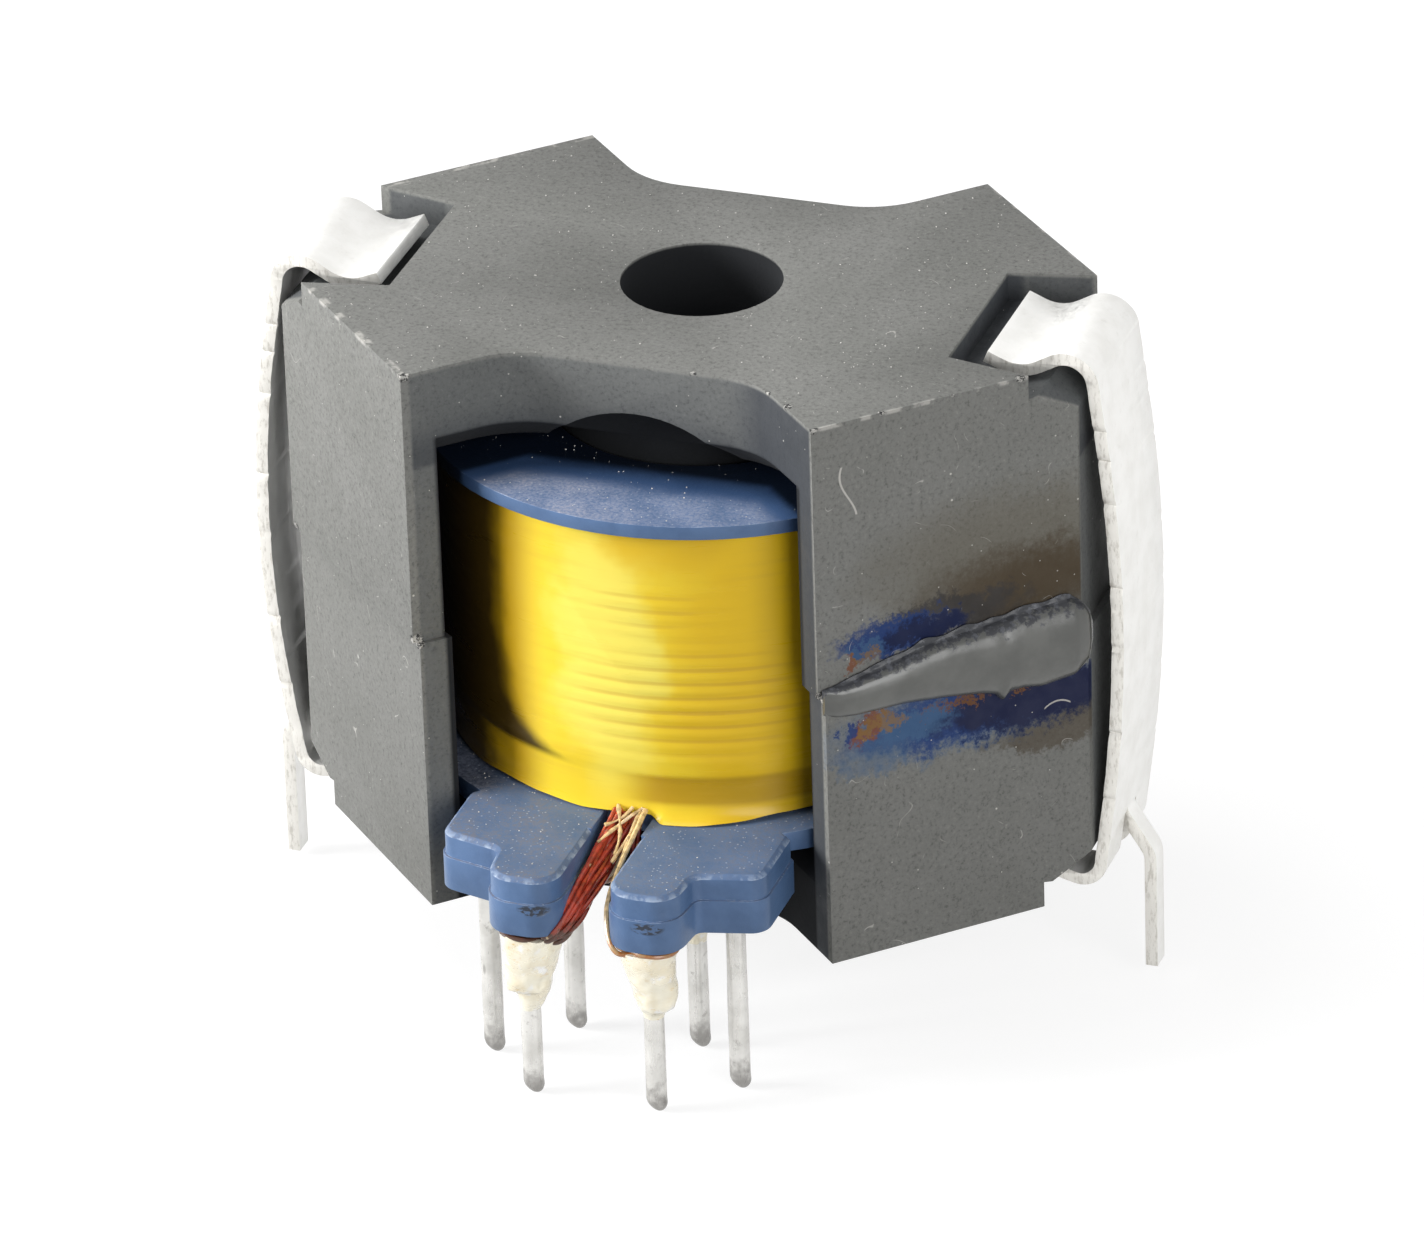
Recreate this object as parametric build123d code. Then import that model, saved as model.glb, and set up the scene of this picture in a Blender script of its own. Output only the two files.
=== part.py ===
from build123d import *
from math import cos, pi, radians, sin, sqrt, tan
import os

# High frequency transformer on a square-shouldered pot core, in millimetres.
# The origin is on the bore's axis at the core's underside, which seats on the board.
# +X runs through the right-hand clip, -Y faces the front opening, and +Z is up.

# Core pair
core_height = 16.4
face_offset = 13.6          # |x| + |y| on the four long outer faces
nose_reach = 11.5           # flat end faces behind the clips
opening_half = 5.4          # middle of the plate's edge in an opening
opening_flat = 2.4          # half length of the straight part of that edge
opening_round = 2.6         # radius that turns the edge to the leg
plate_thickness = 2.8
window_radius = 8.75
post_radius = 4.2
bore_radius = 2.25
air_gap = 0.25              # ground off the upper post
half_shift = 0.1            # the outsides are this far off the bore's axis, each its own way
edge_chamfer = 0.7          # underside of the plate's edge in an opening
arch_width = 4.0            # arch in that chamfered edge
arch_rise = 0.6

# Clip recess in each nose, with lengths measured in from the end face
recess_length = 3.45
recess_depth = 0.85
recess_half_width = 2.65
recess_flare = 0.2          # widening for each millimetre outwards
ridge_foot = 1.4            # a low ridge keeps the clip's end from springing out
ridge_in = 0.85
ridge_depth = 0.72
nose_drop = 1.34            # recess depth at the end face

# Coil former
bore_clearance = 0.15
hub_wall = 0.55
plate_clearance = 0.15
bottom_flange = 0.6
flange_clearance = 0.25     # to the core's window wall
top_flange = 0.4
top_flange_radius = 7.93
former_play = 0.7           # between the top flange and the upper plate

# Pin blocks of the former
block_underside = 1.8
block_slot = 0.72           # half the gap between a pair of blocks
block_back_gap = 0.5        # to the edge of the lower plate
lobe_front = 0.78           # material beyond a pin's axis, towards the front
lobe_side = 0.88
shoulder_front = 0.62
shoulder_side = 1.06
lobe_round = 0.8
shoulder_round = 0.5
valley_round = 0.35
shoulder_lean = 0.45        # the shoulder's front slopes back towards the lobe
parting_step = 0.07         # the lower layer stands this far proud of the upper one
block_bevel = 0.13          # round the top of a block

# Pins, on a 2.54 mm grid turned by 45 degrees
pitch = 2.54
inner_row = 4               # rows of pins, in steps of the turned grid from the bore's axis
middle_row = 5
outer_row = 6
pin_width = 0.42            # square wire
pin_radius = 0.3            # round tinned end
dip_line = -0.2             # height up to which the pins are tinned
pin_tip = -3.6
socket_cover = 0.55         # moulding left over a pin's top end

# Windings and tapes, from the hub outwards
layer_gap = 0.03
primary_build = 0.95
interlayer_build = 0.1
secondary_build = 1.04
tape_build = 0.37
lead_room = 0.35            # space under the windings where the leads run out
tape_edge_gap = 0.05
notch_height = 0.42

# Leads and joints
wire_radius = 0.1
turn_gap = 0.01
lead_pitch = 0.23           # between the lanes in which the leads come out
solder_foot = 0.43          # radius at the lower end of a joint
solder_sizes = {            # pin number: widest radius and foot height
    2: (0.8, 0.0), 3: (0.55, 1.0), 4: (0.6, 0.75), 5: (0.7, 0.0), 8: (0.7, 0.0), 11: (0.7, 0.0),
}

# Glue bead on the front right face: its place along the face as a share of the face's
# length, then how far it reaches below and above the seam, and its thickness
bead_shape = [
    (0.01, 0.4, 0.25, 0.2), (0.11, 0.65, 0.65, 0.42), (0.375, 0.75, 0.95, 0.5),
    (0.61, 1.05, 1.27, 0.58), (0.85, 1.25, 1.27, 0.62), (0.97, 1.0, 1.15, 0.5),
    (1.02, 0.35, 0.55, 0.2),
]
bead_root = 0.3             # how far it is drawn into the core before it is trimmed
bead_sides = 8              # flats over the crest of the bead

# Clips, with lengths measured out from the core's end face unless a comment says otherwise
strip_width = 3.8
strip_thickness = 0.35
clip_seat_gap = 0.02
tab_in = 1.75               # the tab's valley, in from the end face
tab_length = 1.0
tab_lift = 0.42
tab_round = 1.2
hump_out = 0.12
hump_rise = 0.42            # above the core's top
hump_round = 0.75
hook_out = 0.22
hook_rise = 0.15            # above the core's underside
hook_round = 0.6
bow_share = 0.7             # share of each side of the strip that the bow takes up
right_bow = 1.25
left_bow = 1.55
tongue_width = 0.65
tongue_slot = 1.1
tongue_leave = 1.75         # height at which the tongue leaves the strip
tongue_overlap = 0.8        # length of tongue that is still one with the strip
tongue_root = 0.42
tongue_turn = 0.45          # height at which it turns down
tongue_rounds = [0.6, 0.7]
right_tongue = 1.26
left_tongue = 1.33
right_tongue_tip = -3.1
left_tongue_tip = -3.4

# Worked out from the sizes above
seam = core_height / 2
grid = pitch / sqrt(2)
knee_x = opening_flat + opening_round * tan(pi / 8)
leg_reach = (face_offset - knee_x - opening_half) / 2
leg_x = knee_x + leg_reach
leg_y = opening_half + leg_reach
face_length = sqrt(2) * (nose_reach - leg_x)
former_bottom = plate_thickness + plate_clearance
flange_top = former_bottom + bottom_flange
bottom_flange_radius = window_radius - half_shift - flange_clearance
pin_top = flange_top - socket_cover
former_top = core_height - plate_thickness - former_play
coil_top = former_top - top_flange
hub_outer = post_radius + bore_clearance + hub_wall
winding_bottom = flange_top + lead_room
primary_radius = hub_outer + layer_gap
interlayer_radius = primary_radius + primary_build + layer_gap
secondary_radius = interlayer_radius + interlayer_build + layer_gap
tape_radius = secondary_radius + secondary_build + layer_gap
wrap_radius = pin_radius + wire_radius + turn_gap
wrap_height = block_underside - wire_radius - turn_gap
solder_top = wrap_height - wire_radius - turn_gap

nodes = {}


def save(name, shape):
    """Keep a named piece and write it to its own file."""
    nodes[name] = shape
    export_step(shape, f"parts/{name}.step")


def column(radius, bottom, top, place=(0, 0)):
    """An upright cylinder between two heights."""
    return Pos(*place, (bottom + top) / 2) * Cylinder(radius, top - bottom)


def ring(inner, outer, bottom, top):
    """A plain tube wall about the bore's axis."""
    return column(outer, bottom, top) - column(inner, bottom, top)


def prism(points, bottom, top):
    """An upright prism over a plan outline given by its corners."""
    face = make_face(Polyline(*points, close=True))
    return Pos(0, 0, bottom) * extrude(face, amount=top - bottom)


def slab(points, half_width):
    """A prism that runs along Y over an outline in the X-Z plane."""
    outline = [Vector(x, 0, z) for x, z in points]
    face = make_face(Polyline(*outline, close=True))
    return extrude(face, amount=half_width, dir=(0, 1, 0), both=True)


def rounded_face(corners):
    """A flat face from corners that each carry a rounding radius."""
    points = [(x, y) for x, y, _ in corners]
    radii = [radius for _, _, radius in corners]
    return make_face(FilletPolyline(*points, radius=radii, close=True))


def turn_over(shape):
    """The same shape turned half a turn about the seam's X axis."""
    return Pos(0, 0, core_height) * Rot(180, 0, 0) * shape


def plan_corners():
    """Corners of a core half's plan, with the knees of the openings rounded widely."""
    nose = (nose_reach, face_offset - nose_reach, 0)
    leg = (leg_x, leg_y, 0)
    knee = (knee_x, opening_half, opening_round)
    quarter = [nose, leg, knee]
    upper = quarter + [(-x, y, radius) for x, y, radius in reversed(quarter)]
    return upper + [(-x, -y, radius) for x, y, radius in upper]


def clip_recess():
    """The cut that one clip's end drops into, at the +X end of the underside."""
    wall = nose_reach - recess_length
    beyond = nose_reach + 1
    drop = (nose_drop - ridge_depth) / ridge_in
    profile = [
        (wall, -1), (wall, recess_depth), (nose_reach - ridge_foot, recess_depth),
        (nose_reach - ridge_in, ridge_depth), (beyond, nose_drop + drop), (beyond, -1),
    ]
    inner = recess_half_width
    outer = inner + recess_flare * (beyond - wall)
    plan = [(wall, -inner), (beyond, -outer), (beyond, outer), (wall, inner)]
    return slab(profile, 2 * outer) & prism(plan, -1, plate_thickness)


def opening_arch():
    """The shallow arch in the inner edge of the plate, through both openings."""
    half = arch_width / 2
    radius = (half**2 + arch_rise**2) / (2 * arch_rise)
    crown = plate_thickness - edge_chamfer - arch_rise
    length = 4 * (opening_half - post_radius)
    tunnel = Rot(90, 0, 0) * Cylinder(radius, length)
    middle = opening_half + length / 4
    return [Pos(0, side * middle, crown + radius) * tunnel for side in (-1, 1)]


def core_half(post_top):
    """One pressed ferrite half, plate down, with its post up to post_top."""
    outline = rounded_face(plan_corners())
    half = extrude(outline, amount=seam)
    half -= column(window_radius, plate_thickness, seam)
    rims = [rim for rim in half.edges() if abs(rim.center().Z - plate_thickness) < 0.01]
    rims = [rim for rim in rims if abs(rim.center().Y) > post_radius]
    half = chamfer(rims, edge_chamfer)
    for arch in opening_arch():
        half -= arch
    half += column(post_radius, plate_thickness / 2, post_top)
    recess = clip_recess()
    return half - recess - Rot(0, 0, 180) * recess


def former_bobbin():
    """Hub with its two flanges, turned from one half-section."""
    hub_inner = post_radius + bore_clearance
    section = [
        (hub_inner, former_bottom),
        (bottom_flange_radius, former_bottom),
        (bottom_flange_radius, flange_top),
        (hub_outer, flange_top),
        (hub_outer, coil_top),
        (top_flange_radius, coil_top),
        (top_flange_radius, former_top),
        (hub_inner, former_top),
    ]
    return revolve(Plane.XZ * make_face(Polyline(*section, close=True)), Axis.Z)


def block_outline():
    """Plan of one pin block, the front right one, with its back along the plate's edge."""
    lobe_x = grid + lobe_side
    lobe_y = -(outer_row * grid + lobe_front)
    shoulder_x = 2 * grid + shoulder_side
    shoulder_y = -(middle_row * grid + shoulder_front)
    back_x = knee_x - block_back_gap * tan(pi / 8)
    back_y = -(opening_half + block_back_gap)
    return rounded_face([
        (block_slot, back_y, 0),
        (block_slot, lobe_y, lobe_round),
        (lobe_x, lobe_y, lobe_round),
        (lobe_x + shoulder_lean / 3, shoulder_y - shoulder_lean, valley_round),
        (shoulder_x, shoulder_y, shoulder_round),
        (shoulder_x, back_y - (shoulder_x - back_x), 0),
        (back_x, back_y, 0),
    ])


def pin_block():
    """A pin block in two moulded layers that meet at the parting line."""
    parting = plate_thickness
    outline = block_outline()
    cap = Pos(0, 0, parting) * extrude(outline, amount=flange_top - parting)
    cap = chamfer(cap.faces().sort_by(Axis.Z)[-1].edges(), block_bevel)
    wider = offset(outline, amount=parting_step, kind=Kind.INTERSECTION)
    base = Pos(0, 0, block_underside) * extrude(wider, amount=parting - block_underside)
    return cap + base


def pin_places():
    """Plan positions of the twelve pins: six at the front, then the same six turned round."""
    left = [(-2, middle_row), (-1, outer_row), (-1, inner_row)]
    front = left + [(-across, out) for across, out in reversed(left)]
    places = [(across * grid, -out * grid) for across, out in front]
    return places + [(-x, -y) for x, y in places]


def square_wire(place):
    """The untinned length of a pin, up to its top end inside the moulding."""
    length = pin_top - dip_line
    return Pos(*place, pin_top - length / 2) * Box(pin_width, pin_width, length)


def pin(place):
    """A pin of square wire with a round tinned end."""
    return column(pin_radius, pin_tip, dip_line, place) + square_wire(place)


def coil_former():
    """The moulded former: bobbin, four pin blocks, two lead slots and the pin sockets."""
    former = former_bobbin()
    slot = Box(2 * block_slot, 2 * tape_build + 4 * block_slot, 4 * bottom_flange)
    for side in (-1, 1):
        middle = tape_radius + tape_build + 2 * block_slot
        former -= Pos(0, side * middle, former_bottom) * slot
    right = pin_block()
    pair = right + mirror(right, about=Plane.YZ)
    former += pair + Rot(0, 0, 180) * pair
    for place in pin_places():
        former -= square_wire(place)
    return former


def outer_tape():
    """The yellow outer tape, with a notch at each lead slot of the former."""
    bottom = flange_top + tape_edge_gap
    tape = ring(tape_radius, tape_radius + tape_build, bottom, coil_top - tape_edge_gap)
    notch = Box(2 * block_slot, 2 * tape_radius + 4 * tape_build, 2 * notch_height)
    return tape - Pos(0, 0, bottom) * notch


def corner_radius(before, corner, after, share):
    """Radius of an arc that takes up the given share of the shorter run at a corner."""
    run_in = Vector(*corner) - Vector(*before)
    run_out = Vector(*after) - Vector(*corner)
    turn = radians(run_in.get_angle(run_out))
    return share * min(run_in.length, run_out.length) / tan(turn / 2)


def wire(run, turn=()):
    """A thin four-sided wire: a run with rounded bends, then a turn with plain corners."""
    points = [*run, *turn]
    radii = [corner_radius(*three, 0.45) for three in zip(points, points[1:], points[2:])]
    if turn:
        radii[len(run) - 1:] = [0] * (len(turn) - 1)
    path = FilletPolyline(*points, radius=radii)
    section = Plane(origin=path @ 0, z_dir=path % 0) * RegularPolygon(wire_radius, 4)
    return sweep(section, path=path, transition=Transition.RIGHT)


def wrap(place, first, last, way):
    """Corners of a turn of wire round a pin, from one angle to another in degrees."""
    reach = wrap_radius / cos(pi / 6)
    angles = [radians(angle) for angle in range(first, last + way, 60 * way)]
    x, y = place
    return [(x + reach * cos(a), y + reach * sin(a), wrap_height) for a in angles]


def lead_out(lane, length):
    """A lead's first two points: straight out of the tape's notch in the given lane."""
    x = lane * lead_pitch
    z = flange_top + wire_radius + turn_gap
    return [(x, -interlayer_radius, z), (x, -(tape_radius + length), z)]


def front_leads():
    """The leads at the front, from under the tape to their pins."""
    _, outer_left, inner_left, inner_right, outer_right = pin_places()[:5]
    low = wrap_height
    return {
        "start_lead_1": wire(
            lead_out(-2.5, 0.64) + [(-0.55, -9.0, 2.75), (-0.56, -10.2, 2.0), (-0.62, -11.1, low)],
            wrap(outer_left, -60, -300, -1)),
        "start_lead_2": wire(
            lead_out(-1.5, 0.64) + [(-0.31, -9.0, 2.7), (-0.3, -10.1, 1.8), (-0.6, -10.8, 1.4),
                                    (-1.3, -10.9, 1.2)]),
        "start_lead_3": wire(
            lead_out(-0.5, 0.64) + [(-0.07, -8.9, 2.6), (-0.04, -9.8, 1.7), (-0.45, -10.5, 1.15),
                                    (-1.3, -10.6, 0.95)]),
        "finish_lead": wire(
            lead_out(2.5, 0.64) + [(0.56, -9.0, 2.8), (0.55, -10.2, 2.05), (0.62, -11.1, low)],
            wrap(outer_right, -120, 120, 1)),
        "left_tap_lead": wire(
            lead_out(0.5, 0.39) + [(0.1, -7.9, 2.9), (0.05, -8.1, 2.2), (-0.75, -7.95, low)],
            wrap(inner_left, -60, -300, -1)),
        "right_tap_lead": wire(
            lead_out(1.5, 0.39) + [(0.34, -7.9, 2.9), (0.34, -8.1, 2.2), (0.75, -7.95, low)],
            wrap(inner_right, -120, 120, 1)),
    }


def solder_joint(place, spread, foot):
    """An eight-sided taper of solder round a pin, from just under the wrap down to its foot."""
    low = Pos(*place, foot) * RegularPolygon(solder_foot, 8)
    high = Pos(*place, solder_top) * RegularPolygon(spread, 8)
    return loft([low, high], ruled=True) - square_wire(place)


def strip_path(bow):
    """Mid-line of a clip's strip, from the tab in the top recess to the hook below."""
    seat = recess_depth - clip_seat_gap - strip_thickness / 2
    valley = nose_reach - tab_in
    points = [
        (valley - tab_length, 0, core_height - seat + tab_lift),
        (valley, 0, core_height - seat),
        (nose_reach + hump_out, 0, core_height + hump_rise),
        (nose_reach + bow, 0, seam),
        (nose_reach + hook_out, 0, hook_rise),
        (valley, 0, seat),
        (valley - tab_length, 0, seat - tab_lift),
    ]
    bow_round = corner_radius(*points[2:5], bow_share)
    rounds = [tab_round, hump_round, bow_round, hook_round, tab_round]
    return FilletPolyline(*points, radius=rounds)


def strip(path, width):
    """Spring strip of the given width, bent along a path in the X-Z plane."""
    start = Plane(origin=path @ 0, x_dir=(0, 1, 0), z_dir=path % 0)
    return sweep(start * Rectangle(width, strip_thickness), path=path)


def clip(bow, tongue, tip):
    """A spring clip with its earth pin, for the +X end of the core."""
    body = strip(strip_path(bow), strip_width)
    gap = Box(4 * nose_reach, tongue_slot, 2 * tongue_leave)
    leave = nose_reach + tongue_root
    lean = (bow - hook_out) / (seam - hook_rise)
    line = [
        (leave + lean * tongue_overlap, 0, tongue_leave + tongue_overlap),
        (leave, 0, tongue_leave),
        (nose_reach + tongue, 0, tongue_turn),
        (nose_reach + tongue, 0, tip),
    ]
    return body - gap + strip(FilletPolyline(*line, radius=tongue_rounds), tongue_width)


def bead_section(share, below, above, thick):
    """A half-oval across the glue bead, standing on the outer face of the core."""
    run = Vector(1, 1) / sqrt(2)
    out = Vector(1, -1) / sqrt(2)
    origin = Vector(leg_x, -leg_y) + run * share * face_length
    half = (above + below) / 2
    middle = seam + above - half
    turns = [pi * k / bead_sides for k in range(bead_sides + 1)]
    crest = [(thick * sin(turn), middle - half * cos(turn)) for turn in turns]
    root = [(-bead_root, middle + half), (-bead_root, middle - half)]
    return Plane(origin=origin, x_dir=out, z_dir=-run) * make_face(Polyline(*crest, *root, close=True))


def glue_bead(halves):
    """The bead of adhesive over the seam on the front right face."""
    sections = [bead_section(*numbers) for numbers in bead_shape]
    bead = loft(sections, ruled=True)
    for half in halves:
        bead -= half
    return bead


os.makedirs("parts", exist_ok=True)

# Core
bore = column(bore_radius, -1, core_height + 1)
core_lower = Pos(half_shift, 0, 0) * core_half(seam) - bore
core_upper = Pos(-half_shift, 0, 0) * turn_over(core_half(seam - air_gap)) - bore
save("core_lower", core_lower)
save("core_upper", core_upper)

# Coil former, pins and windings
save("coil_former", coil_former())
for number, place in enumerate(pin_places(), start=1):
    save(f"pin_{number}", pin(place))
coil_rim = coil_top - tape_edge_gap
save("primary_winding",
     ring(primary_radius, primary_radius + primary_build, winding_bottom, coil_rim))
save("interlayer_tape",
     ring(interlayer_radius, interlayer_radius + interlayer_build, winding_bottom, coil_rim))
save("secondary_winding",
     ring(secondary_radius, secondary_radius + secondary_build, winding_bottom, coil_rim))
save("outer_tape", outer_tape())

# Solder joints on the pins that carry a lead
joints = {
    number: solder_joint(pin_places()[number - 1], spread, foot)
    for number, (spread, foot) in solder_sizes.items()
}
for number, joint in joints.items():
    save(f"solder_joint_{number}", joint)

# Leads: six at the front, and the two secondary ends at the rear
leads = front_leads()
half_turn = Rot(0, 0, 180)
leads["rear_start_lead"] = half_turn * leads["start_lead_1"]
leads["rear_finish_lead"] = half_turn * leads["finish_lead"]
for name, lead in leads.items():
    for joint in joints.values():
        lead -= joint
    save(name, lead)

# Clips and glue
save("clip_right", clip(right_bow, right_tongue, right_tongue_tip))
save("clip_left", half_turn * clip(left_bow, left_tongue, left_tongue_tip))
save("glue_bead", glue_bead([core_lower, core_upper]))

for name, shape in nodes.items():
    print(f"{name}: {shape.volume:.2f} mm3")
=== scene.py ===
# %% [markdown]
# # A high frequency transformer, dressed in Blender
#
# The real object is a small through-hole transformer. Two pressed ferrite halves clamp
# round a coil on a blue plastic former, two spring clips hold the halves together, and
# twelve tinned pins reach down to the board. A bead of glue lies over the seam, and dust
# and heat stains tell that the part has been in use.
#
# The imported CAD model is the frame. Every piece that is made here stands where its CAD
# node stands, in metres, with Z up along the bore and -Y towards the open front. All
# sizes below are written in millimetres and are scaled when a mesh is made.

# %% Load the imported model
from math import cos, degrees, exp, pi, radians, sin, sqrt

import bmesh
import bpy
from mathutils import Matrix, Vector, noise


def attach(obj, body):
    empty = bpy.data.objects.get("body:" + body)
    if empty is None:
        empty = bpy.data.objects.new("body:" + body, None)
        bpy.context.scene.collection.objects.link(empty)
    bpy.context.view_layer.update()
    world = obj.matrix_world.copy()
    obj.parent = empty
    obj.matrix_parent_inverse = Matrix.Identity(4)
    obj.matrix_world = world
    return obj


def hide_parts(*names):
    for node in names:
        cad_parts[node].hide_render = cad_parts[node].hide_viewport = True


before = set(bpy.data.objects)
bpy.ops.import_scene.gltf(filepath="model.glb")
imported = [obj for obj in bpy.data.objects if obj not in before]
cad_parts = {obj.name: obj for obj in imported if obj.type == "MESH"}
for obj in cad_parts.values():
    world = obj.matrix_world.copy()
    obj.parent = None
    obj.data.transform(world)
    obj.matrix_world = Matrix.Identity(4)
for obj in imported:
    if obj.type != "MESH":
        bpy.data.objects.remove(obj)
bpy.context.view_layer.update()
MM = 0.001

# %% [markdown]
# ## Camera
#
# The photograph was taken from the front, a little to the right and about 28 degrees
# above the horizon, with a long lens. The camera is placed by its azimuth, elevation,
# roll and distance from a point halfway up the core, which is easier to correct by hand
# than a matrix. The lens is worked out for Blender's 36 mm wide sensor.

# %% Camera
AZIMUTH, ELEVATION, ROLL = radians(19.879), radians(28.308), radians(-1.917)
DISTANCE = 303.67
SLIDE_RIGHT, SLIDE_UP = 0.05, -2.259
FOCAL_PIXELS, PHOTO_WIDTH, SENSOR = 10944, 1425, 36
AIM_HEIGHT = 8.2


def placed(name, data):
    """A new object in the scene."""
    made = bpy.data.objects.new(name, data)
    bpy.context.scene.collection.objects.link(made)
    return made


back = Vector((sin(AZIMUTH) * cos(ELEVATION), -cos(AZIMUTH) * cos(ELEVATION), sin(ELEVATION)))
level = Vector((cos(AZIMUTH), sin(AZIMUTH), 0))
rise = back.cross(level)
right = cos(ROLL) * level + sin(ROLL) * rise
up = cos(ROLL) * rise - sin(ROLL) * level
place = Vector((0, 0, AIM_HEIGHT)) + DISTANCE * back + SLIDE_RIGHT * right + SLIDE_UP * up

camera = placed("camera", bpy.data.cameras.new("camera"))
camera.data.sensor_width = SENSOR
camera.data.lens = FOCAL_PIXELS / PHOTO_WIDTH * SENSOR
camera.data.clip_start, camera.data.clip_end = 0.01, 10
turn = Matrix((right, up, back)).transposed()
camera.matrix_world = Matrix.Translation(place * MM) @ turn.to_4x4()
bpy.context.scene.camera = camera
print("camera lens:", round(camera.data.lens, 1), "mm")

# %% [markdown]
# ## Helpers for materials
#
# Every finish is a small node tree on the Principled shader. A `Value` is an output in
# such a tree, and arithmetic on it adds Math nodes, so that a pattern reads as a formula.
# Patterns use Object coordinates in millimetres: a scale of 3 is about three waves to a
# millimetre, and the places in them are places on the part.

# %% Values in a node tree
def operator(operation, turned=False):
    """A method that adds a Math node on two values, or on the same two turned round."""
    def act(self, other=0.5):
        return calc(operation, other, self) if turned else calc(operation, self, other)
    return act


class Value:
    """An output in a node tree, on which arithmetic adds Math nodes."""

    def __init__(self, tree, socket):
        self.tree, self.socket = tree, socket

    __add__, __sub__, __rsub__ = operator("ADD"), operator("SUBTRACT"), operator("SUBTRACT", True)
    __mul__, __truediv__, __abs__ = operator("MULTIPLY"), operator("DIVIDE"), operator("ABSOLUTE")
    __pow__, __rpow__ = operator("POWER"), operator("POWER", True)


def feed(tree, socket, value):
    """Link an output to a socket, or set the socket to a plain value."""
    if isinstance(value, Value):
        tree.links.new(value.socket, socket)
    else:
        socket.default_value = value


def add(tree, kind, sockets=None, **settings):
    """A new node with its settings made and its sockets linked or set."""
    made = tree.nodes.new(kind)
    for key, value in settings.items():
        setattr(made, key, value)
    for key, value in (sockets or {}).items():
        feed(tree, made.inputs[key], value)
    return made


def output(tree, kind, sockets=None, key=0, **settings):
    """One output of a new node."""
    return Value(tree, add(tree, kind, sockets, **settings).outputs[key])


def calc(operation, first, second=0.5):
    """A Math node on two values, of which one may be a plain number."""
    tree = (first if isinstance(first, Value) else second).tree
    return output(tree, "ShaderNodeMath", {0: first, 1: second}, operation=operation)


def most(*values):
    """The largest of some values."""
    result = values[0]
    for value in values[1:]:
        result = calc("MAXIMUM", result, value)
    return result


def between(value, low, high, start=0.0, end=1.0):
    """A smooth step of a value from low to high, mapped to start and end."""
    sockets = {"Value": value, "From Min": low, "From Max": high, "To Min": start, "To Max": end}
    return output(value.tree, "ShaderNodeMapRange", sockets, "Result", interpolation_type="SMOOTHSTEP")


# %% Material helpers
def finish_named(name, **values):
    """A material, its tree and its shader, with plain values on the shader's sockets."""
    made = bpy.data.materials.new(name)
    made.use_nodes = True
    shader = made.node_tree.nodes["Principled BSDF"]
    for key, value in values.items():
        shader.inputs[key.replace("_", " ")].default_value = value
    return made, made.node_tree, shader


def millimetres(tree, stretch=(1, 1, 1)):
    """Object coordinates in millimetres, stretched along the axes."""
    place, scale = output(tree, "ShaderNodeTexCoord", key="Object"), [share / MM for share in stretch]
    return output(tree, "ShaderNodeVectorMath", {0: place, 1: scale}, operation="MULTIPLY")


def split(vector):
    """The X, Y and Z of a vector."""
    made = add(vector.tree, "ShaderNodeSeparateXYZ", {0: vector}).outputs
    return [Value(vector.tree, made[axis]) for axis in "XYZ"]


def cloud(where, scale, detail=4, rough=0.55):
    """Soft noise from 0 to 1."""
    sockets = {"Vector": where, "Scale": scale, "Detail": detail, "Roughness": rough}
    return output(where.tree, "ShaderNodeTexNoise", sockets, "Fac")


def blend(share, under, over):
    """Two colours mixed by a share from 0 to 1."""
    under, over = (colour if isinstance(colour, Value) else (*colour, 1) for colour in (under, over))
    return output(share.tree, "ShaderNodeMix", {0: share, 6: under, 7: over}, 2, data_type="RGBA")


def layered(colour, *layers):
    """A colour under layers, each a share and a colour."""
    for share, tint in layers:
        colour = blend(share, colour, tint)
    return colour


def specks(where, scale, size, share):
    """Sparse round specks: 1 in a speck, 0 elsewhere, on a given share of the cells."""
    cells = add(where.tree, "ShaderNodeTexVoronoi", {"Vector": where, "Scale": scale}).outputs
    pick = output(where.tree, "ShaderNodeSeparateColor", {0: Value(where.tree, cells["Color"])})
    dot = between(Value(where.tree, cells["Distance"]), size, size * 0.5)
    return dot * calc("LESS_THAN", pick, share)


def patch(spot, middle, reach, soft=0.1):
    """An oval patch in two coordinates: 1 in its middle, 0 outside."""
    parts = [abs((value - centre) / wide) ** 2.0 for value, centre, wide in zip(spot, middle, reach)]
    return between(parts[0] + parts[1], 1.0, soft)


def hairlines(where, scale, width):
    """Thin curved scratches: the lines on which a noise crosses its middle value."""
    line = between(abs(cloud(where, scale, 1) - 0.5), width, width * 0.3)
    return line * between(cloud(where, scale * 1.7, 2), 0.6, 0.66)


def link(value, shader, name):
    """Link a value to one of a shader's sockets."""
    value.tree.links.new(value.socket, shader.inputs[name])


def bump(height, shader, strength, depth):
    """Relief in millimetres on a shader."""
    sockets = {"Height": height, "Strength": strength, "Distance": depth * MM}
    link(output(height.tree, "ShaderNodeBump", sockets, "Normal"), shader, "Normal")


print("material helpers ready")

# %% [markdown]
# ## Light
#
# The shadows in the photograph tell where the lamps stood. The left legs throw a soft
# shadow a third of the way round the coil, so the main lamp is low and far to the left.
# The right faces are half as bright and their legs shade the coil's other side, so a
# weaker lamp is low on the right. The dark band under the plate's edge needs a third
# one overhead. A dim world fills in, and only the camera and shiny surfaces see it white.

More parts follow.
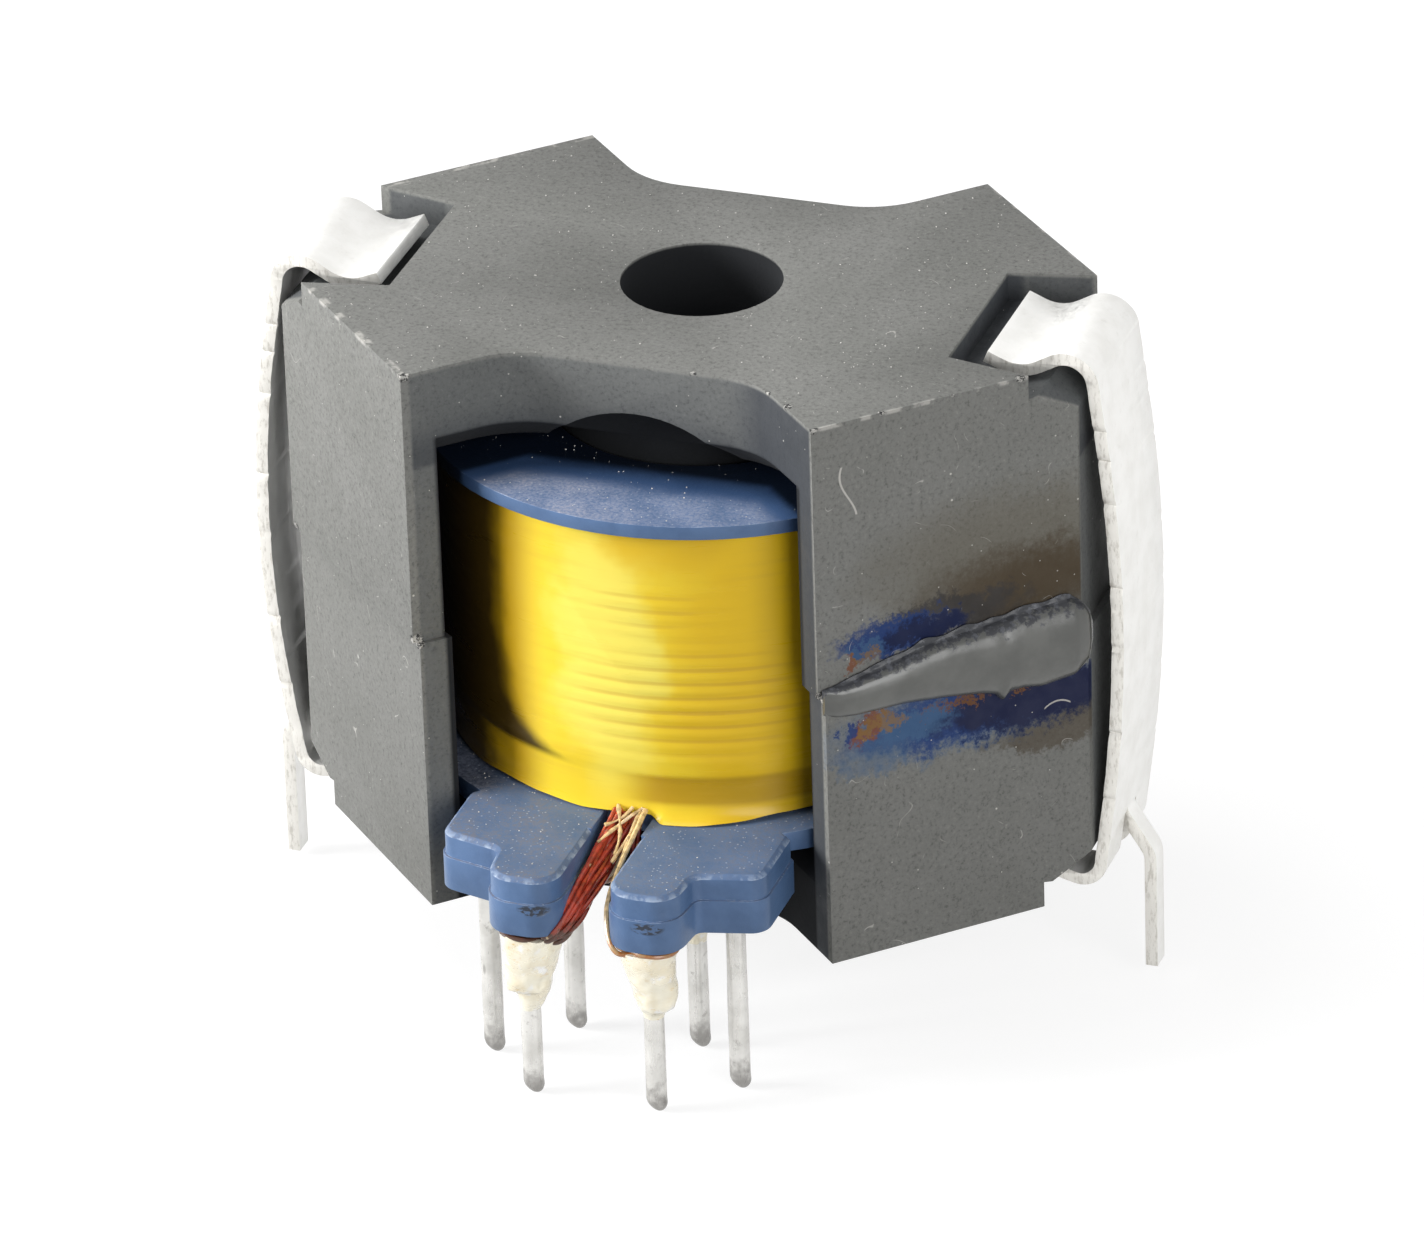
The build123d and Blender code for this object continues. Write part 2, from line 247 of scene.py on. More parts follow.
# %% Lamps and world
LAMP_DISTANCE = 300
LAMP_TARGET = Vector((0, 0, 6))
LAMPS = [                   # name, watts, width, azimuth from the front and elevation in degrees
    ("key", 1.3, 110, -68, 18), ("side", 0.57, 190, 46, 18), ("overhead", 0.36, 110, -80, 72),
]
SKY_LOW, SKY_HIGH = 0.05, 0.3


def softbox(name, watts, width, azimuth, elevation):
    """A square area lamp that looks at the part from a given side."""
    lamp = bpy.data.lights.new(name, "AREA")
    lamp.shape = "SQUARE"
    lamp.size = width * MM
    lamp.energy = watts
    side, height = radians(azimuth), radians(elevation)
    away = Vector((sin(side) * cos(height), -cos(side) * cos(height), sin(height)))
    holder = placed(name, lamp)
    holder.location = (LAMP_TARGET + LAMP_DISTANCE * away) * MM
    holder.rotation_euler = away.to_track_quat("Z", "Y").to_euler()


def seen_directly(tree):
    """1 for rays from the camera, a glossy surface or a clear one, otherwise 0."""
    rays = add(tree, "ShaderNodeLightPath").outputs
    kinds = ("Glossy", "Transmission", "Camera")
    return most(*[Value(tree, rays[f"Is {kind} Ray"]) for kind in kinds])


for lamp in LAMPS:
    softbox(*lamp)

world = bpy.data.worlds.new("studio")
world.use_nodes = True
bpy.context.scene.world = world
sky_tree = world.node_tree
background = sky_tree.nodes["Background"]
background.inputs["Color"].default_value = (1, 1, 1, 1)
upward = split(output(sky_tree, "ShaderNodeTexCoord", key="Generated"))[2]
soft_sky = between(upward, 0.0, 1.0, SKY_LOW, SKY_HIGH)
link(most(seen_directly(sky_tree), soft_sky), background, "Strength")
bpy.context.scene.view_settings.view_transform = "Standard"
print("lamps:", [lamp.name for lamp in bpy.data.lights])

# %% [markdown]
# ## Ferrite
#
# Pressed and sintered ferrite is a warm dark grey, almost like slate: finely grained
# and dull. The ground top and the long faces carry pale dust, fine scratches and a worn
# rim, and the pressed inner walls are darker and a little bluer. Painted shade darkens
# them further low under the plate and in the recesses, and turns the bore and the window
# round the coil nearly black. Near the glue the front right face shows heat tints in
# blue, rust and brown. They are ovals placed on that one face by the part's own
# coordinates, with noise to fray their edges.

# %% Heat stains on the front right face
FACE = 13.6                 # x - y on the front right face, and |x| + |y| on all four
BROWN, SOOT, HAZE = (0.06, 0.044, 0.026), (0.03, 0.028, 0.028), (0.115, 0.1, 0.07)
NAVY, MID_BLUE, SKY_BLUE = (0.002, 0.005, 0.03), (0.009, 0.033, 0.135), (0.05, 0.11, 0.21)
RUST, OCHRE, ORANGE = (0.17, 0.05, 0.014), (0.2, 0.115, 0.035), (0.13, 0.055, 0.014)
STAINS = [                  # across and up on the face, half width, half height, colour, share
    (9.9, 11.4, 4.0, 2.4, HAZE, 0.55), (10.4, 10.1, 3.4, 1.7, BROWN, 1.0),
    (8.5, 9.75, 1.9, 0.75, SOOT, 0.85), (10.9, 5.6, 1.7, 0.8, BROWN, 0.7),
    (9.0, 6.75, 3.6, 1.35, SKY_BLUE, 0.55), (9.3, 6.75, 3.3, 1.15, MID_BLUE, 0.95),
    (10.5, 6.6, 2.5, 1.05, NAVY, 1.0), (7.8, 6.8, 1.1, 0.6, SKY_BLUE, 0.75),
    (7.0, 6.0, 1.0, 0.6, SKY_BLUE, 0.4), (7.4, 9.5, 1.5, 0.7, MID_BLUE, 0.95),
    (8.0, 9.5, 1.0, 0.45, NAVY, 0.9), (6.75, 9.35, 0.6, 0.35, SKY_BLUE, 0.6),
    (6.4, 9.05, 0.26, 0.26, RUST, 0.8), (6.7, 9.15, 0.4, 0.18, OCHRE, 0.7),
    (6.7, 6.98, 0.42, 0.4, RUST, 0.85), (7.15, 7.05, 0.6, 0.3, OCHRE, 0.75),
    (6.42, 7.0, 0.26, 0.3, MID_BLUE, 0.9), (9.4, 7.1, 1.6, 0.13, ORANGE, 0.85),
]
WIDE_STAIN = 1.36           # stains taller than this fade from their middles outwards


def on_front_right(x, y):
    """1 on the front right face, 0 elsewhere."""
    return between(x - y, FACE - 0.25, FACE - 0.1)


def stained(where, colour):
    """The colour with the heat stains laid over it."""
    x, y, z = split(where)
    on_face = on_front_right(x, y)
    sway = between(cloud(where, 1.3, 5, 0.65), 0.2, 0.8, -0.5, 0.5)
    fray = between(cloud(where, 5, 5, 0.75), 0.2, 0.8, -0.3, 0.3)
    spot = (x + sway, z + (fray + sway * 0.5))
    for across, height, wide, tall, tint, share in STAINS:
        oval = patch(spot, (across, height), (wide, tall), 0.0 if tall > WIDE_STAIN else 0.3)
        colour = blend(oval * on_face * share, colour, tint)
    return colour


def marks_on_face(where):
    """Two pale scratches on the front right face: a curved one and a short tick."""
    x, y, z = split(where)
    swing = calc("SINE", (z - 14.1) * 2.4)
    curve = between(abs(x - 6.49 + swing * 0.17), 0.03, 0.012)
    curve = curve * patch((z, z), (14.3, 14.3), (1.1, 1.1), 0.9)
    above = z - 6.34 + abs(x - 10.92) ** 2.0 * 1.8
    tick = between(abs(above), 0.035, 0.015) * patch((x, x), (10.92, 10.92), (0.42, 0.42), 0.8)
    return most(curve, tick) * on_front_right(x, y) * 0.8


# %% Ferrite
TOP, SEAM = 16.4, 8.2
CHIPS = [                   # points on the core's edges where it is chipped, and their reach
    ((-5.84, -7.7, TOP), 0.2), ((5.9, -7.78, TOP), 0.2), ((-5.84, -7.72, 8.25), 0.24),
    ((5.84, -7.75, SEAM), 0.26), ((-5.0, -6.9, SEAM), 0.16), ((7.3, -6.3, TOP), 0.14),
    ((8.8, -4.8, TOP), 0.12), ((3.9, -6.0, TOP), 0.12), ((4.7, -6.6, TOP), 0.15),
    ((1.6, -5.4, TOP), 0.1), ((10.2, -3.3, TOP), 0.16), ((-11.4, -2.2, SEAM), 0.2),
]


def chipped(where, rough):
    """1 inside small broken spots on the edges, with ragged outlines."""
    spots = []
    for point, reach in CHIPS:
        sockets = {0: where, 1: point}
        away = output(where.tree, "ShaderNodeVectorMath", sockets, "Value", operation="DISTANCE")
        spots.append(between(away + rough * 0.3, reach + 0.16, reach + 0.1))
    return most(*spots)


def ferrite_finish():
    """The ferrite's material."""
    made, tree, shader = finish_named("ferrite", IOR=1.36)
    where = millimetres(tree)
    x, y, z = split(where)
    broad, middle, grain = cloud(where, 0.22), cloud(where, 1.6, 5), cloud(where, 8, 4, 0.75)
    colour = layered(
        (0.176, 0.178, 0.167),
        (between(broad, 0.3, 0.7), (0.201, 0.202, 0.192)),
        (between(middle, 0.42, 0.72, 0, 0.3), (0.2, 0.2, 0.19)),
        (between(grain, 0.48, 0.72, 0, 0.8), (0.09, 0.091, 0.084)),
        (between(grain, 0.45, 0.28, 0, 0.6), (0.27, 0.27, 0.25)),
        (between(z, SEAM + 0.05, SEAM - 0.05, 0, 0.12), (0.05, 0.05, 0.045)))

    # The pressed walls are darker, most of all on the right. Painted shade darkens them low down under
    # the plate and in the recesses.
    width = abs(x) + abs(y)
    ground = most(between(width, FACE - 0.35, FACE - 0.15), between(z, TOP - 0.15, TOP - 0.04))
    pressed = 1.0 - ground
    colour = blend(pressed * 0.45, colour, (0.045, 0.053, 0.062))
    right_wall = pressed * between(x, 2.2, 3.8, 0, 0.8) * between(x, 8.6, 8.2)
    low_wall_shade = pressed * between(z, 15.2, 13.8) * between(z, 13.4, 13.6, 0, 0.6)
    recess_shade = pressed * between(abs(x), 8.4, 8.6) * between(z, 13.9, 14.0) * 0.4
    colour = blend(most(right_wall, low_wall_shade, recess_shade), colour, (0.022, 0.026, 0.034))
    # Painted shade: the bore and the walls of the window round the coil are nearly black.
    radius = calc("SQRT", abs(x) ** 2.0 + abs(y) ** 2.0)
    inside = between(radius, 8.95, 8.8) * between(z, 14.4, 14.2) * pressed
    bore = between(radius, 2.4, 2.3) * between(z, TOP, TOP - 0.1)
    dark = most(inside, bore)
    colour = blend(dark * 0.97, colour, (0.008, 0.009, 0.011))

    # Stains, then pale dust, lint, scratches and worn rims, then chips.
    colour = stained(where, colour)
    lint = hairlines(where, 0.8, 0.004) * ground * 0.5
    rim = between(z, TOP - 0.14, TOP - 0.06) * between(width, FACE - 0.25, FACE - 0.1)
    rim = rim * between(middle, 0.5, 0.62) * 0.6
    motes = [specks(where, 2.2, 0.09, 0.1), specks(where, 5.5, 0.13, 0.07)]
    pale = most(*motes, lint, marks_on_face(where), rim)
    colour = blend(pale * (1.0 - dark) * 0.85, colour, (0.62, 0.6, 0.56))
    broken = chipped(where, grain)
    crumbled = blend(between(grain, 0.46, 0.54), (0.03, 0.03, 0.03), (0.5, 0.49, 0.46))
    link(blend(broken, colour, crumbled), shader, "Base Color")
    link(most(between(middle, 0.3, 0.7, 0.66, 0.82), dark), shader, "Roughness")
    bump(grain + middle * 1.5 - broken * 3.0, shader, 0.4, 0.02)
    return made


ferrite = ferrite_finish()
print("finish:", ferrite.name, len(ferrite.node_tree.nodes), "nodes")

# %% [markdown]
# ## Former plastic
#
# The former is a blue moulding with a soft gloss on its sides. Grey dust has settled on
# what faces the open sky, and a broken painted highlight runs along its edges. Under the
# core's plate and in the niche on the left, painted shade darkens it nearly to black.
# Heat from soldering has left short dark creases low on the front of the lobes that hold
# the outermost pins.

# %% Former plastic
CREASES = [(-1.3, 2.62, 0.48), (1.98, 2.58, 0.5)]       # across, height and half width
PLATE_EDGE, PLATE_SLOPE = 5.4, 1.92         # |y| of the plate's edge, and |y| - |x| further out
FLANGE_FROM, FLANGE_TO = 12.3, 12.4         # above these heights lies the top flange


def former_finish():
    """Dusty blue moulded plastic."""
    made, tree, shader = finish_named(
        "former_plastic", Specular_IOR_Level=0.35, Coat_Weight=0.12, Coat_Roughness=0.3)
    where = millimetres(tree)
    x, y, z = split(where)
    facing_up = split(output(tree, "ShaderNodeNewGeometry", key="Normal"))[2]
    broad, fine = cloud(where, 0.9, 5), cloud(where, 10, 3, 0.7)
    colour = blend(between(broad, 0.3, 0.7), (0.062, 0.118, 0.235), (0.086, 0.155, 0.295))

    # What lies under the plate has no dust. Painted shade darkens it, nearly to black at the back and
    # in the left niche.
    outward = abs(y) - most(PLATE_EDGE, abs(x) + PLATE_SLOPE)
    covered = between(z, FLANGE_FROM, FLANGE_TO) * (1.0 - between(outward, 0.0, 1.0))
    colour = blend(covered * 0.6, colour, (0.025, 0.06, 0.16))
    niche = between(z, 3.8, 3.7) * between(x, -3.6, -4.6) * between(y, -7.6, -7.0)
    painted_shade = most(covered * between(outward, -0.3, -0.8) * 0.95, niche * 0.8)
    colour = blend(painted_shade, colour, (0.004, 0.007, 0.015))

    # Dust, a broken painted highlight along the edges, and single motes.
    settled = between(facing_up, 0.35, 0.95) * (1.0 - covered)
    patchy = between(broad, 0.3, 0.65, 0.3, 0.75) * between(x, -1.5, 1.5, 1.15, 0.75)
    dust = settled * patchy * between(fine, 0.35, 0.65, 0.3, 1.3)
    ash = blend(between(z, 11, 12), (0.135, 0.152, 0.208), (0.28, 0.3, 0.385))
    colour = blend(dust, colour, ash)
    edge = between(facing_up, 0.25, 0.45) * between(facing_up, 0.8, 0.6)
    painted_edge_glint = edge * between(cloud(where, 2.6, 4), 0.44, 0.58) * 0.6
    colour = blend(painted_edge_glint * (1.0 - painted_shade), colour, (0.42, 0.5, 0.62))
    colour = blend(specks(where, 8.5, 0.3, 0.3) * settled * 0.4, colour, (0.5, 0.53, 0.58))

    wrinkle = between(cloud(millimetres(tree, (1, 1, 2.2)), 4.2, 3), 0.46, 0.52)
    ovals = [patch((x, z), (across, height), (wide, 0.2), 0.4) for across, height, wide in CREASES]
    creases = most(*ovals) * between(y, -11.2, -11.4) * wrinkle
    link(blend(creases * 0.92, colour, (0.012, 0.015, 0.022)), shader, "Base Color")
    link(most(between(dust, 0, 0.5, 0.36, 0.85), settled * 0.8), shader, "Roughness")
    bump(fine * 0.6 + broad * 2.0 - creases * 2.0, shader, 0.4, 0.04)
    return made


former_plastic = former_finish()
print("finish:", former_plastic.name, len(former_plastic.node_tree.nodes), "nodes")

# %% [markdown]
# ## Tape film
#
# The tape is a thin glossy polyester film. Its yellow deepens to ochre towards the right.
# A painted highlight pales it near the front, and painted shade turns it amber towards
# the left leg's shadow and ochre under the flange. The outermost turns of wire press
# through it as ridges with painted orange shade between them. On the left a painted
# shadow, nearly black, widens down to the fold line. The pattern is laid out in the angle
# from the front and the height, which unrolls the cylinder. That angle jumps at the very
# back, so the painted shadow ends there in a hard upright line.

# %% Tape
RIDGE_PITCH = 0.44
FOLD = 4.9                  # height of the line on which the film is folded outwards
TAPE_HIGHLIGHT, GOLD, DEEP = (0.86, 0.72, 0.11), (0.82, 0.6, 0.03), (0.78, 0.5, 0.012)
SHADE_AMBER, TAPE_SHADOW = (0.57, 0.34, 0.007), (0.022, 0.012, 0.004)


def tape_finish():
    """Yellow polyester film that deepens to ochre."""
    made, tree, shader = finish_named(
        "yellow_tape", Specular_IOR_Level=0.3, Coat_Weight=0.06, Coat_Roughness=0.2)
    where = millimetres(tree)
    x, y, z = split(where)
    angle = calc("ARCTAN2", x, y * -1.0) * degrees(1)
    streaks = cloud(millimetres(tree, (0.25, 0.25, 3)), 1.1, 4)
    broad = cloud(where, 0.5, 3)
    drift = between(broad, 0.2, 0.8, -5, 5)
    place = angle + drift
    strip = between(z, FOLD + 0.1, FOLD - 0.1) * between(angle, -4, 8) * between(z, 3.95, 4.15, 0.2, 1)
    # Painted light in the film's colour: a highlight near the front, amber shade towards the left
    # leg's shadow and ochre shade under the flange.
    colour = layered(
        GOLD,
        (between(place, 4, 22), DEEP),
        (patch((place, z), (-3, 8.4), (15, 5.4), 0.1), TAPE_HIGHLIGHT),
        (between(angle, -17, -29), SHADE_AMBER),
        (patch((place, z), (9, 12.7), (17, 1.9), 0.2) * 0.8, (0.7, 0.43, 0.01)),
        (strip, (0.5, 0.3, 0.01)))

    # Painted orange shade between the ridges, where the film is pressed on the wire.
    shade = calc("SINE", z * (2 * pi / RIDGE_PITCH))
    low = patch((place, z), (15, 7.3), (30, 2.1), 0.15)
    high = patch((place, z), (6, 10.1), (15, 0.9), 0.2)
    lines = between(shade + streaks, 0.1, -0.5) * most(low, high * 0.7) * 0.4
    mottle = between(streaks, 0.5, 0.8, 0, 0.3)
    colour = layered(colour, (lines, (0.5, 0.26, 0.03)), (mottle, (0.62, 0.38, 0.03)))

    # A painted shadow on the left, nearly black, whose edge sweeps to the front above the fold.
    swept = 0.33 ** (z - (FOLD + 0.1)) * 14.0
    shadow_wedge = between(angle + drift * 0.3 - swept, -27, -35) * between(z, FOLD - 0.1, FOLD + 0.2) * 0.93
    darkened = most(shadow_wedge, between(place, -28, -42, 0, 0.9))
    link(blend(darkened, colour, TAPE_SHADOW), shader, "Base Color")
    link(between(streaks, 0.2, 0.8, 0.24, 0.4), shader, "Roughness")
    bump(streaks + broad, shader, 0.15, 0.05)
    return made


yellow_tape = tape_finish()
print("finish:", yellow_tape.name, len(yellow_tape.node_tree.nodes), "nodes")

# %% [markdown]
# ## Wire, metals, glue and dust
#
# The leads are copper under a red-brown enamel that has burnt dark near the joints, and
# one pair is cream with old varnish. Pins, solder and clips are three pale metals that
# differ in sheen: the pins are tinned and darker at their tips, the solder is creamy
# from its flux, and the clips are nearly white, with a grey torn edge where the strip
# was sheared. The glue is a soft grey, with a dull dark skin along its upper edge.

# %% Wire
def wire_finish(name, enamel, darkened, line):
    """Enamelled copper wire that is darkened by heat below a height in millimetres."""
    made, tree, shader = finish_named(name, Roughness=0.32, Coat_Weight=0.4, Coat_Roughness=0.2)
    where = millimetres(tree)
    mottle = cloud(where, 5, 4)
    colour = blend(between(mottle, 0.35, 0.7), enamel, [0.45 * part for part in enamel])
    height = split(where)[2] + between(mottle, 0.2, 0.8, -0.35, 0.35)
    colour = blend(between(height, line + 0.3, line - 0.3), colour, darkened)
    crumbs = specks(where, 5, 0.3, 0.16)
    link(blend(crumbs * 0.8, colour, (0.75, 0.6, 0.36)), shader, "Base Color")
    bump(mottle + crumbs, shader, 0.35, 0.02)
    return made


red_wire = wire_finish("red_enamel", (0.5, 0.055, 0.026), (0.06, 0.018, 0.006), 1.95)
cream_wire = wire_finish("cream_varnish", (0.8, 0.58, 0.3), (0.36, 0.13, 0.03), 1.9)
coil_wire = wire_finish("coil_copper", (0.5, 0.16, 0.06), (0.5, 0.16, 0.06), 0.0)


# %% Metals
def metal_finish(name, bright, dull, stain, share, rough, relief, stretch=(5, 5, 0.5)):
    """A pale metal with clouds and a few stains, and drag marks along the least stretched axis."""
    made, tree, shader = finish_named(name, Metallic=0.7)
    where = millimetres(tree)
    clouds = cloud(where, 1.3, 5)
    drag = cloud(millimetres(tree, stretch), 1.4, 4)
    colour = blend(between(clouds, 0.35, 0.7), bright, dull)
    colour = blend(between(cloud(where, 3.1, 6, 0.7), 0.56, 0.74, 0, share), colour, stain)
    link(between(drag, 0.2, 0.8, rough - 0.08, rough + 0.12), shader, "Roughness")
    bump(drag + clouds, shader, 0.25, relief)
    return made, shader, where, colour


def pin_finish():
    """Tin plate with drag marks, dull and darker towards the tip."""
    made, shader, where, colour = metal_finish(
        "tinned_pin", (0.74, 0.73, 0.7), (0.6, 0.59, 0.56), (0.3, 0.29, 0.27), 0.75, 0.3, 0.03)
    height = split(where)[2] + between(cloud(where, 4, 4), 0.2, 0.8, -0.35, 0.35)
    colour = blend(between(height, -2.4, -3.4, 0, 0.75), colour, (0.2, 0.19, 0.18))
    pits = specks(millimetres(where.tree, (1, 1, 0.4)), 2.4, 0.22, 0.1)
    link(blend(pits * 0.7, colour, (0.3, 0.29, 0.27)), shader, "Base Color")
    return made


def solder_finish():
    """Solder under a creamy film of flux, with amber in its creases."""
    made, shader, where, colour = metal_finish(
        "solder", (0.9, 0.86, 0.72), (0.84, 0.76, 0.58), (0.55, 0.36, 0.13), 0.4, 0.22, 0.06,
        (0.9, 0.9, 2.2))
    shader.inputs["Metallic"].default_value = 0.35
    colour = blend(between(cloud(where, 2.2, 3), 0.55, 0.7), colour, (0.9, 0.9, 0.88))
    amber = between(cloud(millimetres(where.tree, (1, 1, 2)), 2.8, 5, 0.7), 0.6, 0.72, 0, 0.75)
    link(blend(amber, colour, (0.7, 0.45, 0.13)), shader, "Base Color")
    return made


def clip_finish():
    """Pale spring strip whose sheared edges are grey and torn."""
    made, shader, where, colour = metal_finish(
        "spring_steel", (0.93, 0.924, 0.9), (0.87, 0.862, 0.832), (0.56, 0.54, 0.5), 0.2, 0.42, 0.02)
    sideways = split(output(where.tree, "ShaderNodeNewGeometry", key="Normal"))[1]
    sheared = between(abs(sideways), 0.75, 0.92)
    torn = between(cloud(millimetres(where.tree, (3, 1, 0.9)), 2.6, 5, 0.7), 0.48, 0.66)
    edge = blend(torn * 0.6, (0.76, 0.74, 0.69), (0.34, 0.31, 0.26))
    link(blend(sheared * 0.85, colour, edge), shader, "Base Color")
    return made


tinned, solder, spring_steel = pin_finish(), solder_finish(), clip_finish()


# %% Glue and dust
def glue_finish():
    """Grey adhesive, whose skin is dull and dark where the mesh's second UV axis is high."""
    made, tree, shader = finish_named(
        "grey_glue", Specular_IOR_Level=0.4, Coat_Weight=0.4, Coat_Roughness=0.22)
    where = millimetres(tree)
    across = split(output(tree, "ShaderNodeTexCoord", key="UV"))[1]
    mottle = between(cloud(where, 0.9, 4), 0.35, 0.7)
    colour = blend(mottle, (0.085, 0.087, 0.081), (0.116, 0.118, 0.11))
    ragged = across + between(cloud(where, 3.6, 5, 0.7), 0.25, 0.75, -0.1, 0.1)
    skinned = between(ragged, 0.7, 0.77)
    torn = between(cloud(where, 4, 4, 0.6), 0.5, 0.66)
    skin_colour = blend(torn, (0.028, 0.03, 0.036), (0.085, 0.09, 0.105))
    link(blend(skinned, colour, skin_colour), shader, "Base Color")
    link(between(skinned, 0, 1, 0.26, 0.75), shader, "Roughness")
    bump(cloud(where, 1.5, 3) + skinned * torn, shader, 0.3, 0.05)
    return made


def dust_finish():
    """Pale grains of dust."""
    made, tree, shader = finish_named("pale_dust", Roughness=0.9)
    shade = between(cloud(millimetres(tree), 2.5, 2), 0.3, 0.7)
    link(blend(shade, (0.72, 0.7, 0.66), (0.42, 0.41, 0.39)), shader, "Base Color")
    return made


grey_glue, pale_dust = glue_finish(), dust_finish()
print("finishes:", [made.name for made in bpy.data.materials])

# %% [markdown]
# ## Helpers for meshes
#
# Three helpers make most pieces. `skin` joins a row of rings of points into a closed
# shell, which suits tape, pins, solder and glue. `soften` takes a copy of a CAD node,
# welds its loose triangles, joins its flat faces and bevels its edges, because real
# edges are never perfectly sharp and a thin line of light along them says what the
# material is. `tube` runs a round wire along a smooth curve through a few points.
# Each piece rides on the part's one body and is named after the CAD node it dresses.

# %% Mesh helpers
WIRE_SIDES = 8


def smooth(value, low, high):
    """A smooth step from 0 to 1."""
    t = min(max((value - low) / (high - low), 0), 1)
    return t * t * (3 - 2 * t)


def bell(value, middle, width):
    """A smooth bump of height 1."""
    return exp(-((value - middle) / width) ** 2)


def wobble(*point):
    """Soft noise at a point, from about -0.5 to 0.5."""
    return noise.noise(Vector(point))


def around(count):
    """Even angles of a full turn."""
    return [2 * pi * k / count for k in range(count)]


def show(name, mesh, slot, *nodes):
    """A finished piece on the body, which stands for some CAD nodes."""
    made = placed(name, mesh)
    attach(made, "root")
    if nodes:
        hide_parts(*nodes)
    print(name, "has", len(mesh.polygons), "faces")


def dress(node, mesh, slot):
    """A piece that stands for one CAD node."""
    show(node + "_dressed", mesh, slot, node)


def smoothed(mesh, material, sharp=40):
    """The mesh with one material and smooth shading up to a sharp angle."""
    mesh.materials.clear()
    mesh.materials.append(material)
    mesh.shade_smooth()
    mesh.set_sharp_from_angle(angle=radians(sharp))
    return mesh


def shell(work, rings, closed=False):
    """Add a shell through rings of points in millimetres, capped at both ends or closed."""
    rows = [[work.verts.new(Vector(point) * MM) for point in ring] for ring in rings]
    pairs = list(zip(rows, rows[1:])) + ([(rows[-1], rows[0])] if closed else [])
    for first, second in pairs:
        for k in range(len(first)):
            after = (k + 1) % len(first)
            work.faces.new((first[k], first[after], second[after], second[k]))
    if not closed:
        work.faces.new(rows[0])
        work.faces.new(rows[-1])


def mesh_of(work):
    """The worked mesh, which ends the work."""
    mesh = bpy.data.meshes.new("worked")
    work.to_mesh(mesh)
    work.free()
    return mesh


def finished(work, material, sharp=40):
    """The worked mesh with its normals outward, ready to show."""
    bmesh.ops.recalc_face_normals(work, faces=work.faces)
    return smoothed(mesh_of(work), material, sharp)


def skin(rings, material, sharp=40, closed=False):
    """One shell as a mesh."""
    work = bmesh.new()
    shell(work, rings, closed)
    return finished(work, material, sharp)


def modified(mesh, kind, settings, tree=None):
    """A plain mesh from a start mesh and one modifier, set before it is first evaluated."""
    holder = placed("work", mesh)
    step = holder.modifiers.new(kind.lower(), kind)
    if tree:
        step.node_group = tree
        inputs = [item for item in tree.interface.items_tree if item.in_out == "INPUT"]
        sockets = {item.name: item.identifier for item in inputs}
        for label, value in settings.items():
            step[sockets[label]] = value
    else:
        for key, value in settings.items():
            setattr(step, key, value)
    bpy.context.view_layer.update()
    graph = bpy.context.evaluated_depsgraph_get()
    result = bpy.data.meshes.new_from_object(holder.evaluated_get(graph))
    bpy.data.objects.remove(holder)
    return result


def welded(node):
    """A copy of a CAD node's mesh with its triangles joined and its flat faces merged."""
    work = bmesh.new()
    work.from_mesh(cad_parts[node].data)
    bmesh.ops.remove_doubles(work, verts=work.verts, dist=0.002 * MM)
    bmesh.ops.dissolve_limit(work, angle_limit=radians(0.6), verts=work.verts, edges=work.edges)
    bmesh.ops.recalc_face_normals(work, faces=work.faces)
    return mesh_of(work)


def bevelled(mesh, width, segments, angle):
    """The mesh with its edges rounded where they turn by more than an angle in degrees."""
    bevel = {"width": width * MM, "segments": segments, "limit_method": "ANGLE",
             "angle_limit": radians(angle)}
    return modified(mesh, "BEVEL", bevel)


def soften(node, width, material, slot, segments=2):
    """The CAD node with bevelled edges, as a piece that stands for it."""
    dress(node, smoothed(bevelled(welded(node), width, segments, 28), material, 32), slot)


def curve_through(points, steps):
    """Points of a smooth curve that passes through the given ones."""
    marks = [Vector(point) for point in points]
    ends = [2 * marks[0] - marks[1], *marks, 2 * marks[-1] - marks[-2]]
    line = []
    for p0, p1, p2, p3 in zip(ends, ends[1:], ends[2:], ends[3:]):
        for k in range(steps):
            t = k / steps
            line.append(0.5 * (2 * p1 + (p2 - p0) * t + (2 * p0 - 5 * p1 + 4 * p2 - p3) * t**2
                               + (3 * p1 - p0 - 3 * p2 + p3) * t**3))
    return [*line, marks[-1]]


def frames_along(line):
    """Two cross directions at each point of a line, carried along without twist."""
    side = Vector((0, 0, 1)).cross(line[1] - line[0]).normalized()
    for k, point in enumerate(line):
        ahead = (line[min(k + 1, len(line) - 1)] - line[max(k - 1, 0)]).normalized()
        side = (side - side.dot(ahead) * ahead).normalized()
        yield point, side, ahead.cross(side)


def tube(work, line, radius, lump, seed):
    """Add a round wire along a line, with slight lumps."""
    rings = []
    for point, side, other in frames_along(line):
        swell = radius * (1 + lump * noise.noise(point * 3.1 + Vector((seed, 0, 0))))
        rings.append([point + swell * (cos(a) * side + sin(a) * other) for a in around(WIRE_SIDES)])
    shell(work, rings)


def strands(work, line, count, radius, spread, twist, seed):
    """Add wires that run side by side along a line and wind round each other."""
    frames = list(frames_along(line))
    for strand in range(count):
        path = []
        for k, (point, side, other) in enumerate(frames):
            turn = 2 * pi * (strand / count + twist * k / len(frames)) + seed
            path.append(point + spread * (cos(turn) * side + sin(turn) * other))
        tube(work, path, radius, 0.15, seed + strand)


print("mesh helpers ready")

# %% [markdown]
# ## Core halves and former
#
# The two halves are the CAD solids with softened edges. The former gets the same
# treatment, a little rounder, because it is a moulding.

